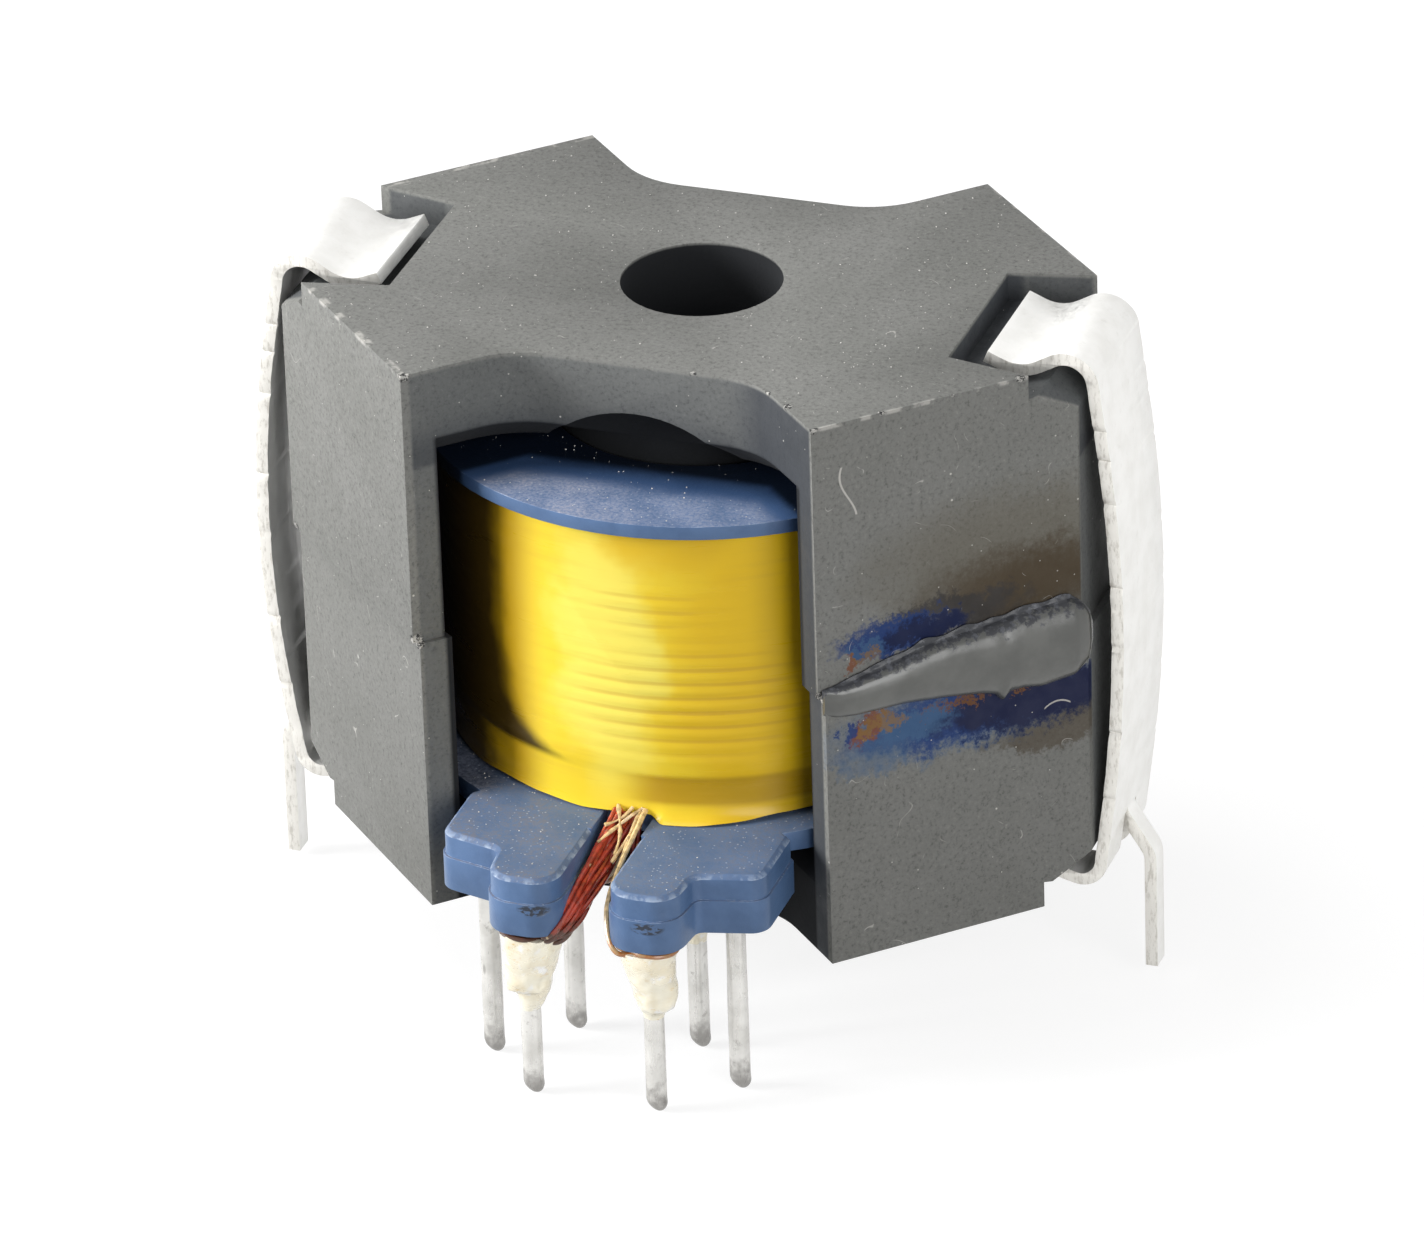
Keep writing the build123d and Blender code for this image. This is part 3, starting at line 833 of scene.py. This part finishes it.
# %% Core halves and former
for half in ("core_lower", "core_upper"):
    soften(half, 0.07, ferrite, "ferrite")
soften("coil_former", 0.1, former_plastic, "former_plastic", 3)

# %% [markdown]
# ## Spring clips
#
# The clips are bent from one strip. The CAD solid already has their bends, so their
# edges are softened only slightly. The strip was sheared, not ground: the long edges are
# nicked, which is done by pulling the points along them in by a small random amount.

# %% Spring clips
NICKS = [3.1, 5.2, 7.9, 9.7, 12.3, 13.6, 14.5]     # heights of deep nicks on a clip's edges
STRIP_HALF = 1.9
CUTS = [0.4 + 0.11 * k for k in range(145)]         # heights at which the long edges are cut
ROUGH_FROM, ROUGH_TO = 0.5, 16                      # heights between which they are roughened


def nick_depth(point, side):
    """How far a point on a clip's edge is pulled in, in millimetres."""
    rough = 0.035 * (0.5 + wobble(side, point.z * 2.1, 5.0))
    fine = 0.02 * wobble(side * 3, point.z * 9.0, 2.0)
    deep = sum(0.09 * bell(point.z, height + 0.2 * side, 0.07) for height in NICKS)
    return max(rough + fine + deep, 0)


def nicked(node):
    """The clip's CAD mesh with its long edges cut into short lengths and roughened."""
    work = bmesh.new()
    work.from_mesh(welded(node))
    for height in CUTS:
        geometry = work.verts[:] + work.edges[:] + work.faces[:]
        place, normal = (0, 0, height * MM), (0, 0, 1)
        bmesh.ops.bisect_plane(work, geom=geometry, plane_co=place, plane_no=normal)
    for vert in work.verts:
        point = vert.co / MM
        if abs(abs(point.y) - STRIP_HALF) < 0.01 and ROUGH_FROM < point.z < ROUGH_TO:
            side = 1 if point.y > 0 else -1
            vert.co.y -= side * nick_depth(point, side) * MM
    return mesh_of(work)


for node in ("clip_right", "clip_left"):
    dress(node, smoothed(bevelled(nicked(node), 0.045, 2, 50), spring_steel, 30), "spring_steel")

# %% [markdown]
# ## Pins
#
# A pin starts as square wire and ends round, because the tin fills its corners. Each pin
# is a stack of rings whose outline is a rounded square that turns into a circle lower
# down, with a domed tip and the small lumps of dip tinning.

# %% Pins
PIN_TOP, PIN_FOOT, PIN_SIDES = 3.0, -3.6, 28
SOCKET_HALF, WIRE_HALF, DIPPED = 0.205, 0.232, 0.288
BLOCK_UNDERSIDE, DOME, SQUARENESS = 1.8, 0.3, 7
SHANK = [-3.2 + 0.14 * k for k in range(36)]        # heights of the rings above the tip


def pin_reach(turn, z, seed):
    """Distance from a pin's axis to its surface, in a direction and at a height."""
    half = WIRE_HALF if z < BLOCK_UNDERSIDE else SOCKET_HALF
    square = half / (abs(cos(turn)) ** SQUARENESS + abs(sin(turn)) ** SQUARENESS) ** (1 / SQUARENESS)
    dipped = smooth(z, 1.1, -0.6)
    reach = square * (1 - dipped) + DIPPED * dipped
    reach *= 1 + 0.035 * wobble(cos(turn), sin(turn), z * 0.9 + seed)
    depth = (z - PIN_FOOT) / DOME
    return reach * sqrt(1 - (1 - depth) ** 2) if depth < 1 else reach


def pin_rings(x, y, seed):
    """Rings of a pin from its tip up into the moulding."""
    heights = [PIN_FOOT + DOME * (1 - cos(pi / 2 * k / 8)) for k in range(1, 9)]
    heights += [*SHANK, BLOCK_UNDERSIDE - 0.01, BLOCK_UNDERSIDE + 0.01, PIN_TOP]
    rings = []
    for z in heights:
        lean = 0.05 * wobble(seed, 0, 0) * smooth(z, BLOCK_UNDERSIDE, PIN_FOOT)
        slant = 0.08 * smooth(z, -3.15, PIN_FOOT)
        middle = (x + lean + slant * cos(AZIMUTH), y + slant * sin(AZIMUTH))
        shrink = 1 - 0.2 * smooth(z, -3.2, PIN_FOOT)
        rings.append([(middle[0] + shrink * pin_reach(a, z, seed) * cos(a),
                       middle[1] + shrink * pin_reach(a, z, seed) * sin(a), z)
                      for a in around(PIN_SIDES)])
    return rings


def node_middle(name):
    """Middle of a CAD node's box in plan, in millimetres."""
    points = [vert.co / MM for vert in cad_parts[name].data.vertices]
    xs, ys = [point.x for point in points], [point.y for point in points]
    return (min(xs) + max(xs)) / 2, (min(ys) + max(ys)) / 2


pin_places = {name: node_middle(name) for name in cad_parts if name.startswith("pin_")}
for number, (name, (x, y)) in enumerate(sorted(pin_places.items())):
    dress(name, skin(pin_rings(x, y, 7.3 * number), tinned, 60), "tinned_pin")

# %% [markdown]
# ## Solder joints
#
# No two hand-made joints are alike. The outlines of the two big ones in front are given
# as rows of height, reach to the right and reach to the left, as the camera sees them,
# and the surface between is filled in and wrinkled. The others use plainer rows.

# %% Solder joints
BIG_LEFT = [
    (1.6, 1.0, 0.72), (1.3, 0.97, 0.75), (0.8, 0.86, 0.72), (0.3, 0.74, 0.69), (0.0, 0.67, 0.67),
    (-0.15, 0.63, 0.62), (-0.25, 0.59, 0.44), (-0.45, 0.5, 0.32), (-0.7, 0.4, 0.295),
    (-0.9, 0.285, 0.285),
]
BIG_RIGHT = [
    (1.6, 0.74, 0.86), (1.3, 0.7, 0.84), (0.8, 0.67, 0.7), (0.3, 0.65, 0.58), (0.0, 0.64, 0.5),
    (-0.2, 0.61, 0.44), (-0.32, 0.48, 0.37), (-0.45, 0.34, 0.32), (-0.6, 0.285, 0.285),
]
SMALL = [
    (1.6, 0.55, 0.58), (1.35, 0.56, 0.55), (1.0, 0.5, 0.42), (0.7, 0.42, 0.36), (0.4, 0.33, 0.31),
    (0.1, 0.285, 0.285),
]
INNER_RIGHT = [
    (1.6, 0.72, 0.6), (1.3, 0.7, 0.58), (0.9, 0.52, 0.56), (0.5, 0.4, 0.5), (0.2, 0.36, 0.42),
    (0.0, 0.31, 0.3), (-0.2, 0.285, 0.285),
]
JOINT_SIDES, JOINT_STEPS = 48, 6
DENT_TURN, DENT_HEIGHT = 5.3, 0.15      # a hollow in each joint, in radians round it and in height
OUTMOST = 11.5              # beyond this |y| the solder is pressed in, to stay in the CAD's box
JOINTS = {2: BIG_LEFT, 3: SMALL, 4: INNER_RIGHT, 5: BIG_RIGHT, 8: BIG_LEFT, 11: BIG_RIGHT}


def joint_rings(rows, x, y, seed, half_turned):
    """Rings of a joint from its foot to its top, with wrinkles and lumps."""
    outline = curve_through(rows, JOINT_STEPS)
    facing = AZIMUTH + (pi if half_turned else 0)
    rings = []
    for z, to_right, to_left in reversed(outline):
        free = smooth((to_right + to_left) / 2, 0.3, 0.5)
        ring = []
        for a in around(JOINT_SIDES):
            reach = (to_right + to_left) / 2 + (to_right - to_left) / 2 * cos(a)
            spot = Vector((cos(a) * 1.1 + seed, sin(a) * 1.1, z * 1.3))
            fold = sin(9 * z + 2.5 * noise.noise(spot * 1.5) + 2 * cos(a + seed))
            lumps = 0.07 * noise.noise(spot) + 0.03 * noise.noise(spot * 3.1) + 0.014 * fold
            dent = 0.1 * bell(a, DENT_TURN, 0.28) * bell(z, DENT_HEIGHT, 0.22)
            reach += free * (lumps - dent)
            angle = a + facing
            across, along = x + reach * cos(angle), y + reach * sin(angle)
            along -= 0.7 * (max(along - OUTMOST, 0) + min(along + OUTMOST, 0))
            ring.append((across, along, z + 0.04 * free * noise.noise(spot * 2)))
        rings.append(ring)
    return rings


for number, rows in JOINTS.items():
    rings = joint_rings(rows, *pin_places[f"pin_{number}"], 1.7 * number, number > 6)
    dress(f"solder_joint_{number}", skin(rings, solder, 70), "solder")

# %% [markdown]
# ## Leads
#
# The ends of the primary come out of the notch under the tape as a bundle of red-brown
# strands that hugs the left block, turns under its lobe and is wound round the pin. The
# cream pair does the same on the right. The two taps drop behind the blocks to the inner
# pins. Each lead is a few thin strands that wind loosely round each other.

# %% Leads
LEAD_STEPS, LOOSE_RADIUS, WRAP_STEP = 8, 0.048, 30


def wrap(x, y, reach, z, first, last):
    """Points of a turn of wire round a pin, between two angles in degrees."""
    steps = max(int(abs(last - first) / WRAP_STEP), 1)
    angles = [radians(first + (last - first) * k / steps) for k in range(steps + 1)]
    return [(x + reach * cos(a), y + reach * sin(a), z) for a in angles]


def half_turned(points):
    """The same points turned half a turn about the bore."""
    return [(-x, -y, z) for x, y, z in points]


RED_1 = [
    (-0.3, -6.9, 3.75), (-0.28, -7.6, 3.6), (-0.4, -8.7, 3.16), (-0.52, -9.8, 2.74),
    (-0.6, -10.7, 2.36), (-0.78, -11.15, 1.95), (-1.0, -11.3, 1.68),
    *wrap(*pin_places["pin_2"], 0.67, 1.66, -40, -330),
]
RED_2 = [
    (-0.08, -6.9, 3.75), (-0.06, -7.6, 3.45), (-0.2, -8.7, 3.0), (-0.34, -9.8, 2.6),
    (-0.46, -10.7, 2.2), (-0.7, -11.05, 1.8), (-1.05, -11.12, 1.6), (-1.45, -11.0, 1.5),
]
RED_3 = [
    (0.14, -6.9, 3.75), (0.12, -7.6, 3.35), (-0.02, -8.7, 2.85), (-0.2, -9.8, 2.4),
    (-0.4, -10.55, 1.95), (-0.72, -10.9, 1.55), (-1.1, -10.95, 1.38), (-1.5, -10.9, 1.3),
]
CREAM = [
    (0.42, -6.9, 3.8), (0.46, -7.6, 3.74), (0.44, -8.6, 3.38), (0.42, -9.7, 2.86),
    (0.5, -10.5, 2.44), (0.74, -11.1, 1.95), (1.05, -11.4, 1.68),
    *wrap(*pin_places["pin_5"], 0.69, 1.64, -125, 140),
]
LEFT_TAP = [
    (0.05, -6.9, 3.7), (0.05, -7.6, 3.2), (0.0, -7.95, 2.6), (-0.3, -8.05, 1.95), (-0.9, -7.85, 1.64),
    *wrap(*pin_places["pin_3"], 0.42, 1.66, -60, -300),
]
RIGHT_TAP = [
    (0.3, -6.9, 3.7), (0.32, -7.6, 3.2), (0.36, -7.95, 2.6), (0.5, -8.1, 1.95), (0.95, -7.9, 1.64),
    *wrap(*pin_places["pin_4"], 0.46, 1.64, -120, 120),
    (1.62, -7.7, 1.1), (1.75, -7.82, 0.62), (1.95, -7.76, 0.72), (2.12, -7.6, 1.05),
]
LEADS = [                   # node, points, strands, thickness, spread, twists, finish
    ("start_lead_1", RED_1, 3, 0.075, 0.09, 1.6, red_wire),
    ("start_lead_2", RED_2, 3, 0.075, 0.09, 1.4, red_wire),
    ("start_lead_3", RED_3, 3, 0.07, 0.085, 1.8, red_wire),
    ("finish_lead", CREAM, 2, 0.07, 0.075, 1.5, cream_wire),
    ("left_tap_lead", LEFT_TAP, 2, 0.07, 0.07, 1.5, cream_wire),
    ("right_tap_lead", RIGHT_TAP, 2, 0.07, 0.06, 2.0, red_wire),
    ("rear_start_lead", half_turned(RED_1), 3, 0.075, 0.09, 1.6, red_wire),
    ("rear_finish_lead", half_turned(CREAM), 2, 0.07, 0.075, 1.5, cream_wire),
]
LOOSE = [                   # cream strands that lie across the top of the red bundle
    [(0.44, -7.42, 3.86), (0.2, -7.75, 3.74), (-0.12, -8.1, 3.52), (-0.42, -8.7, 3.36)],
    [(-0.26, -7.42, 3.86), (-0.1, -7.8, 3.72), (0.08, -8.3, 3.42), (0.14, -8.9, 3.14)],
    [(0.16, -7.42, 3.84), (0.02, -7.7, 3.7), (-0.2, -7.95, 3.62), (-0.4, -8.15, 3.6)],
    [(0.5, -7.42, 3.84), (0.42, -8.1, 3.56), (0.3, -8.6, 3.34), (0.1, -9.1, 3.0)],
]
for number, (node, points, count, radius, spread, twist, material) in enumerate(LEADS):
    work = bmesh.new()
    strands(work, curve_through(points, LEAD_STEPS), count, radius, spread, twist, 0.9 * number)
    for strand in LOOSE if node == "finish_lead" else []:
        tube(work, curve_through(strand, LEAD_STEPS), LOOSE_RADIUS, 0.7, strand[0][0])
    dress(node, finished(work, material), "enamelled_wire")

# %% [markdown]
# ## Tape
#
# The tape is one closed shell. Its outside is a cylinder with a little relief: ridges
# from the wire under it, a fold line near the bottom where the former's flange pushes
# it out, a shallow diagonal crease at the left, and a lower edge that flares and hangs
# lower right of the notch.

# %% Tape
TAPE_OUTSIDE, TAPE_INSIDE, TAPE_TOP, TAPE_ROWS = 7.48, 7.24, 12.45, 150
FRONT = [-60 + 0.75 * k for k in range(161)]        # angles of the fine sections in front
BEHIND = [62 + 4 * k for k in range(60)]            # and of the coarse ones behind
EDGE_HEIGHT, FLAP_FROM, FLAP_REACH = 3.68, 6, 24    # the flap starts right of the notch
ARC = 0.1305                # length of a degree round the tape
CREASE_AT, CREASE_ALONG, CREASE_UP = (-2.2, 11), 0.804, 0.591      # the slanting crease


def lower_edge(angle):
    """Height of the tape's lower edge at an angle in degrees from the front."""
    flap = 0.12 * smooth(angle, 5, 7.5) * (1 - min(max((angle - FLAP_FROM) / FLAP_REACH, 0), 1))
    wave = 0.05 * wobble(angle * 0.11, 3.1, 0)
    return EDGE_HEIGHT + wave - flap - 0.1 * bell(angle, -12, 6)


def tape_relief(angle, z):
    """How far the film stands out from its cylinder, in millimetres."""
    turns = 0.5 + 0.5 * sin(2 * pi * z / RIDGE_PITCH + 0.4 * sin(radians(angle * 2)))
    firm = bell(z, 7.2, 1.7) * bell(angle, 14, 26) + 0.6 * bell(z, 10.1, 0.7) * bell(angle, 6, 14)
    ridges = 0.03 * turns * firm
    fold = -0.06 / (1 + exp((z - (FOLD + 0.004 * abs(angle - 10))) * 12))
    lip = 0.05 + 0.33 * smooth(angle, 5, 8.5) * (1 - smooth(angle, 14, 38))
    flare = lip * exp(-(z - lower_edge(angle)) / 0.22)
    slant = (ARC * angle - CREASE_AT[0]) * CREASE_ALONG + (z - CREASE_AT[1]) * CREASE_UP
    crease = 0.05 * exp(-abs(slant) / 0.25) * bell(z, 9, 1.9)
    soft = 0.06 * wobble(angle * 0.045, z * 0.22, 1.7)
    return ridges + fold + flare + crease + soft


def tape_ring(angle):
    """The film's section at one angle: up the outside and down the inside."""
    out = Vector((sin(radians(angle)), -cos(radians(angle)), 0))
    low = lower_edge(angle)
    heights = [low + (TAPE_TOP - low) * (k / TAPE_ROWS) for k in range(TAPE_ROWS + 1)]
    outside = [out * (TAPE_OUTSIDE + tape_relief(angle, z)) + Vector((0, 0, z)) for z in heights]
    inside = [out * TAPE_INSIDE + Vector((0, 0, z)) for z in reversed(heights[::10])]
    return outside + inside


tape_rings = [tape_ring(angle) for angle in FRONT + BEHIND]
dress("outer_tape", skin(tape_rings, yellow_tape, closed=True), "yellow_tape")

# %% [markdown]
# ## Windings
#
# The turns of wire repeat along the hub, so Geometry Nodes makes them: a spiral curve
# with a round profile. The tree's sizes are named inputs, and one tree serves both
# windings. They are hidden by the tape, apart from a glimpse in the notch.

# %% Windings
WINDING_LOW, WINDING_HIGH = 4.1, 12.35
WINDINGS = [                # node, radius to the wire's middle, wire's radius, turns
    ("primary_winding", 5.4, 0.2, 20.0), ("secondary_winding", 6.63, 0.22, 18.0),
]


def tree_with(name, sizes):
    """A Geometry Nodes tree with named sizes as inputs, and these and its geometry as values."""
    tree = bpy.data.node_groups.new(name, "GeometryNodeTree")
    tree.interface.new_socket("Geometry", in_out="INPUT", socket_type="NodeSocketGeometry")
    for label, size in sizes.items():
        socket = tree.interface.new_socket(label, in_out="INPUT", socket_type="NodeSocketFloat")
        socket.default_value = size
    tree.interface.new_socket("Geometry", in_out="OUTPUT", socket_type="NodeSocketGeometry")
    given = tree.nodes.new("NodeGroupInput").outputs
    return tree, {label: Value(tree, given[label]) for label in ("Geometry", *sizes)}


def end_tree(shape, material):
    """End a tree: its instances are made real, get their material and leave it."""
    real = output(shape.tree, "GeometryNodeRealizeInstances", {0: shape})
    coated = output(shape.tree, "GeometryNodeSetMaterial", {"Geometry": real, "Material": material})
    add(shape.tree, "NodeGroupOutput", {0: coated})


def turns_tree(material):
    """A tree that winds a wire into a spiral."""
    sizes = {"Radius": 0.005, "Turns": 19, "Height": 0.008, "Wire": 0.0002}
    tree, given = tree_with("wire_turns", sizes)
    spiral = output(tree, "GeometryNodeCurveSpiral", {
        "Resolution": 40, "Rotations": given["Turns"], "Start Radius": given["Radius"],
        "End Radius": given["Radius"], "Height": given["Height"]})
    profile = output(tree, "GeometryNodeCurvePrimitiveCircle", {
        "Resolution": WIRE_SIDES, "Radius": given["Wire"]})
    end_tree(output(tree, "GeometryNodeCurveToMesh", {
        "Curve": spiral, "Profile Curve": profile, "Fill Caps": True}), material)
    return tree


wire_turns = turns_tree(coil_wire)
for node, middle, wire, turns in WINDINGS:
    low, high = WINDING_LOW + wire, WINDING_HIGH - wire
    sizes = {"Radius": middle * MM, "Turns": turns, "Height": (high - low) * MM, "Wire": wire * MM}
    coil_mesh = modified(bpy.data.meshes.new("start"), "NODES", sizes, wire_turns)
    coil_mesh.transform(Matrix.Translation((0, 0, low * MM)))
    dress(node, smoothed(coil_mesh, coil_wire), "copper_wire")

# %% [markdown]
# ## Bead of glue
#
# The bead was drawn from left to right over the seam: thin at its start, fat and round at
# its end, with one small drip. Its lower and upper outlines are given as rows of place
# along the face and height. Between them the section is a fat arch, and a thin ragged
# skin runs up beyond it.

# %% Bead of glue
BEAD_START, BEAD_STEP, BEAD_SECTIONS = 5.86, 0.055, 106
BEAD_LOW = [
    (5.86, 7.74), (6.1, 7.6), (6.5, 7.52), (7.5, 7.5), (8.4, 7.36), (9.2, 7.18), (9.5, 7.05),
    (9.65, 6.8), (9.8, 7.02), (10.1, 7.03), (10.5, 6.92), (11.2, 7.02), (11.5, 7.3), (11.64, 7.8),
    (11.67, 8.3),
]
BEAD_HIGH = [
    (5.86, 8.5), (6.4, 8.55), (7.1, 8.75), (7.7, 8.95), (8.4, 9.12), (9.2, 9.18), (10.1, 9.3),
    (10.8, 9.34), (11.2, 9.38), (11.45, 9.2), (11.6, 8.9), (11.67, 8.4),
]
BEAD_THICK = [
    (5.86, 0.12), (6.2, 0.3), (7.5, 0.42), (9.0, 0.5), (10.5, 0.56), (11.2, 0.55), (11.5, 0.4),
    (11.67, 0.1),
]
OUTSIDE, ARCH_SHARE = 34, 0.8       # steps round the outside, and the arch's share of them
THINNEST, SUNK, BACK_STEPS = 0.004, 0.02, 4     # least thickness; depth and steps of the back


def lookup(rows, value):
    """A value between rows of pairs, by straight lines."""
    for (x0, y0), (x1, y1) in zip(rows, rows[1:]):
        if value <= x1:
            return y0 + (y1 - y0) * max(value - x0, 0) / (x1 - x0)
    return rows[-1][1]


def bead_ring(x):
    """A section of the bead: up its outside, then back down behind the face."""
    low, high, thick = lookup(BEAD_LOW, x), lookup(BEAD_HIGH, x), lookup(BEAD_THICK, x)
    film = 0.16 + 0.14 * wobble(x * 2.3, 1.0, 0)
    film *= smooth(x, 5.9, 6.8) * smooth(x, 11.5, 11.0)
    ring = []
    for k in range(OUTSIDE + 1):
        share = k / OUTSIDE
        if share < ARCH_SHARE:
            t = share / ARCH_SHARE
            z = low + (high - low) * t
            arch = max(1 - abs(2 * t - 1) ** 2.2, 0) ** 0.5
            lump = 1 + 0.12 * wobble(x * 0.9, z * 0.9, 4.0)
            out = thick * arch * lump + 0.05 * smooth(t, 0.7, 1)
        else:
            t = (share - ARCH_SHARE) / (1 - ARCH_SHARE)
            z = high + film * t
            ragged = 0.05 + 0.06 * wobble(x * 5, z * 7, 9.0)
            out = ragged * (1 - t) + THINNEST
        step = max(out, THINNEST) / sqrt(2)
        ring.append(Vector((x + step, x - FACE - step, z)))
    top, inset = ring[-1].z, SUNK / sqrt(2)
    heights = [top + (low - top) * k / BACK_STEPS for k in range(BACK_STEPS + 1)]
    return ring + [Vector((x - inset, x - FACE + inset, z)) for z in heights]


bead_rings = [bead_ring(BEAD_START + BEAD_STEP * k) for k in range(BEAD_SECTIONS)]
work = bmesh.new()
shell(work, bead_rings)
work.loops.layers.uv.new("UVMap")
bead_mesh = finished(work, grey_glue, 50)
for loop in bead_mesh.loops:
    section, step = divmod(loop.vertex_index, len(bead_rings[0]))
    share_round = min(step / OUTSIDE, 1)
    bead_mesh.uv_layers[0].data[loop.index].uv = (section / BEAD_SECTIONS, share_round)
dress("glue_bead", bead_mesh, "grey_glue")

# %% [markdown]
# ## Dust
#
# Grains of dust lie on whatever faces up. Geometry Nodes scatters them: points on the
# upward faces, a small rough ball on each, of random size. Density and grain size are
# the tree's inputs, and its seeds are fixed.

# %% Dust
GRAIN = 0.028
DUSTY = [                   # piece, piece under it, slot, grains to a square metre
    ("core_dust", "core_upper_dressed", "ferrite", 3.2e6),
    ("former_dust", "coil_former_dressed", "former_plastic", 5e6),
]


def dust_tree(material):
    """A tree that scatters grains on the upward faces of a mesh."""
    tree, given = tree_with("dust_grains", {"Density": 1e6, "Grain": 2e-5})
    upward = split(output(tree, "GeometryNodeInputNormal"))[2]
    where = output(tree, "GeometryNodeInputPosition")
    patches = output(tree, "ShaderNodeTexNoise", {"Vector": where, "Scale": 450, "Detail": 3})
    points = add(tree, "GeometryNodeDistributePointsOnFaces", {
        "Mesh": given["Geometry"], "Selection": calc("GREATER_THAN", upward, 0.9),
        "Density": given["Density"] * between(patches, 0.42, 0.66, 0.15, 1.6), "Seed": 7}).outputs
    ball = output(tree, "GeometryNodeMeshIcoSphere", {"Radius": given["Grain"], "Subdivisions": 1})
    size = output(tree, "FunctionNodeRandomValue", {
        "Min": 0.25, "Max": 1.0, "Seed": 3}, 1, data_type="FLOAT")
    grains = output(tree, "GeometryNodeInstanceOnPoints", {
        "Points": Value(tree, points["Points"]), "Instance": ball,
        "Rotation": Value(tree, points["Rotation"]), "Scale": size ** 2.2})
    end_tree(grains, material)
    return tree


dust_grains = dust_tree(pale_dust)
for name, under, slot, density in DUSTY:
    base = bpy.data.objects[under].data.copy()
    grains = modified(base, "NODES", {"Density": density, "Grain": GRAIN * MM}, dust_grains)
    show(name, smoothed(grains, pale_dust, 60), slot)

# %% [markdown]
# ## What stays as packed
#
# Only the interlayer tape is left, hidden between the windings. It is the same film.

# %% Finish for the CAD node that stays
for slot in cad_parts["interlayer_tape"].material_slots:
    slot.material = yellow_tape
print("interlayer_tape has", yellow_tape.name)

# %% [markdown]
# ## Floor
#
# The part stands on its pins on a plain white sheet. The sheet is lifted a little by
# its own colour for the camera and for reflections only, so that it reads as white
# and still keeps the object's shadow.

# %% Floor
FLOOR_HEIGHT, FLOOR_REACH, FLOOR_LIFT = -3.6, 900, 0.82
floor_mesh = bpy.data.meshes.new("floor")
corners = [(x * FLOOR_REACH * MM, y * FLOOR_REACH * MM, FLOOR_HEIGHT * MM)
           for x, y in ((-1, -1), (1, -1), (1, 1), (-1, 1))]
floor_mesh.from_pydata(corners, [], [(0, 1, 2, 3)])
floor_finish, floor_tree, floor_shader = finish_named(
    "floor", Roughness=1.0, Base_Color=(0.24, 0.24, 0.24, 1), Emission_Color=(1, 1, 1, 1))
link(seen_directly(floor_tree) * FLOOR_LIFT, floor_shader, "Emission Strength")
floor_mesh.materials.append(floor_finish)
floor = placed("floor", floor_mesh)
print("floor at", FLOOR_HEIGHT, "mm")
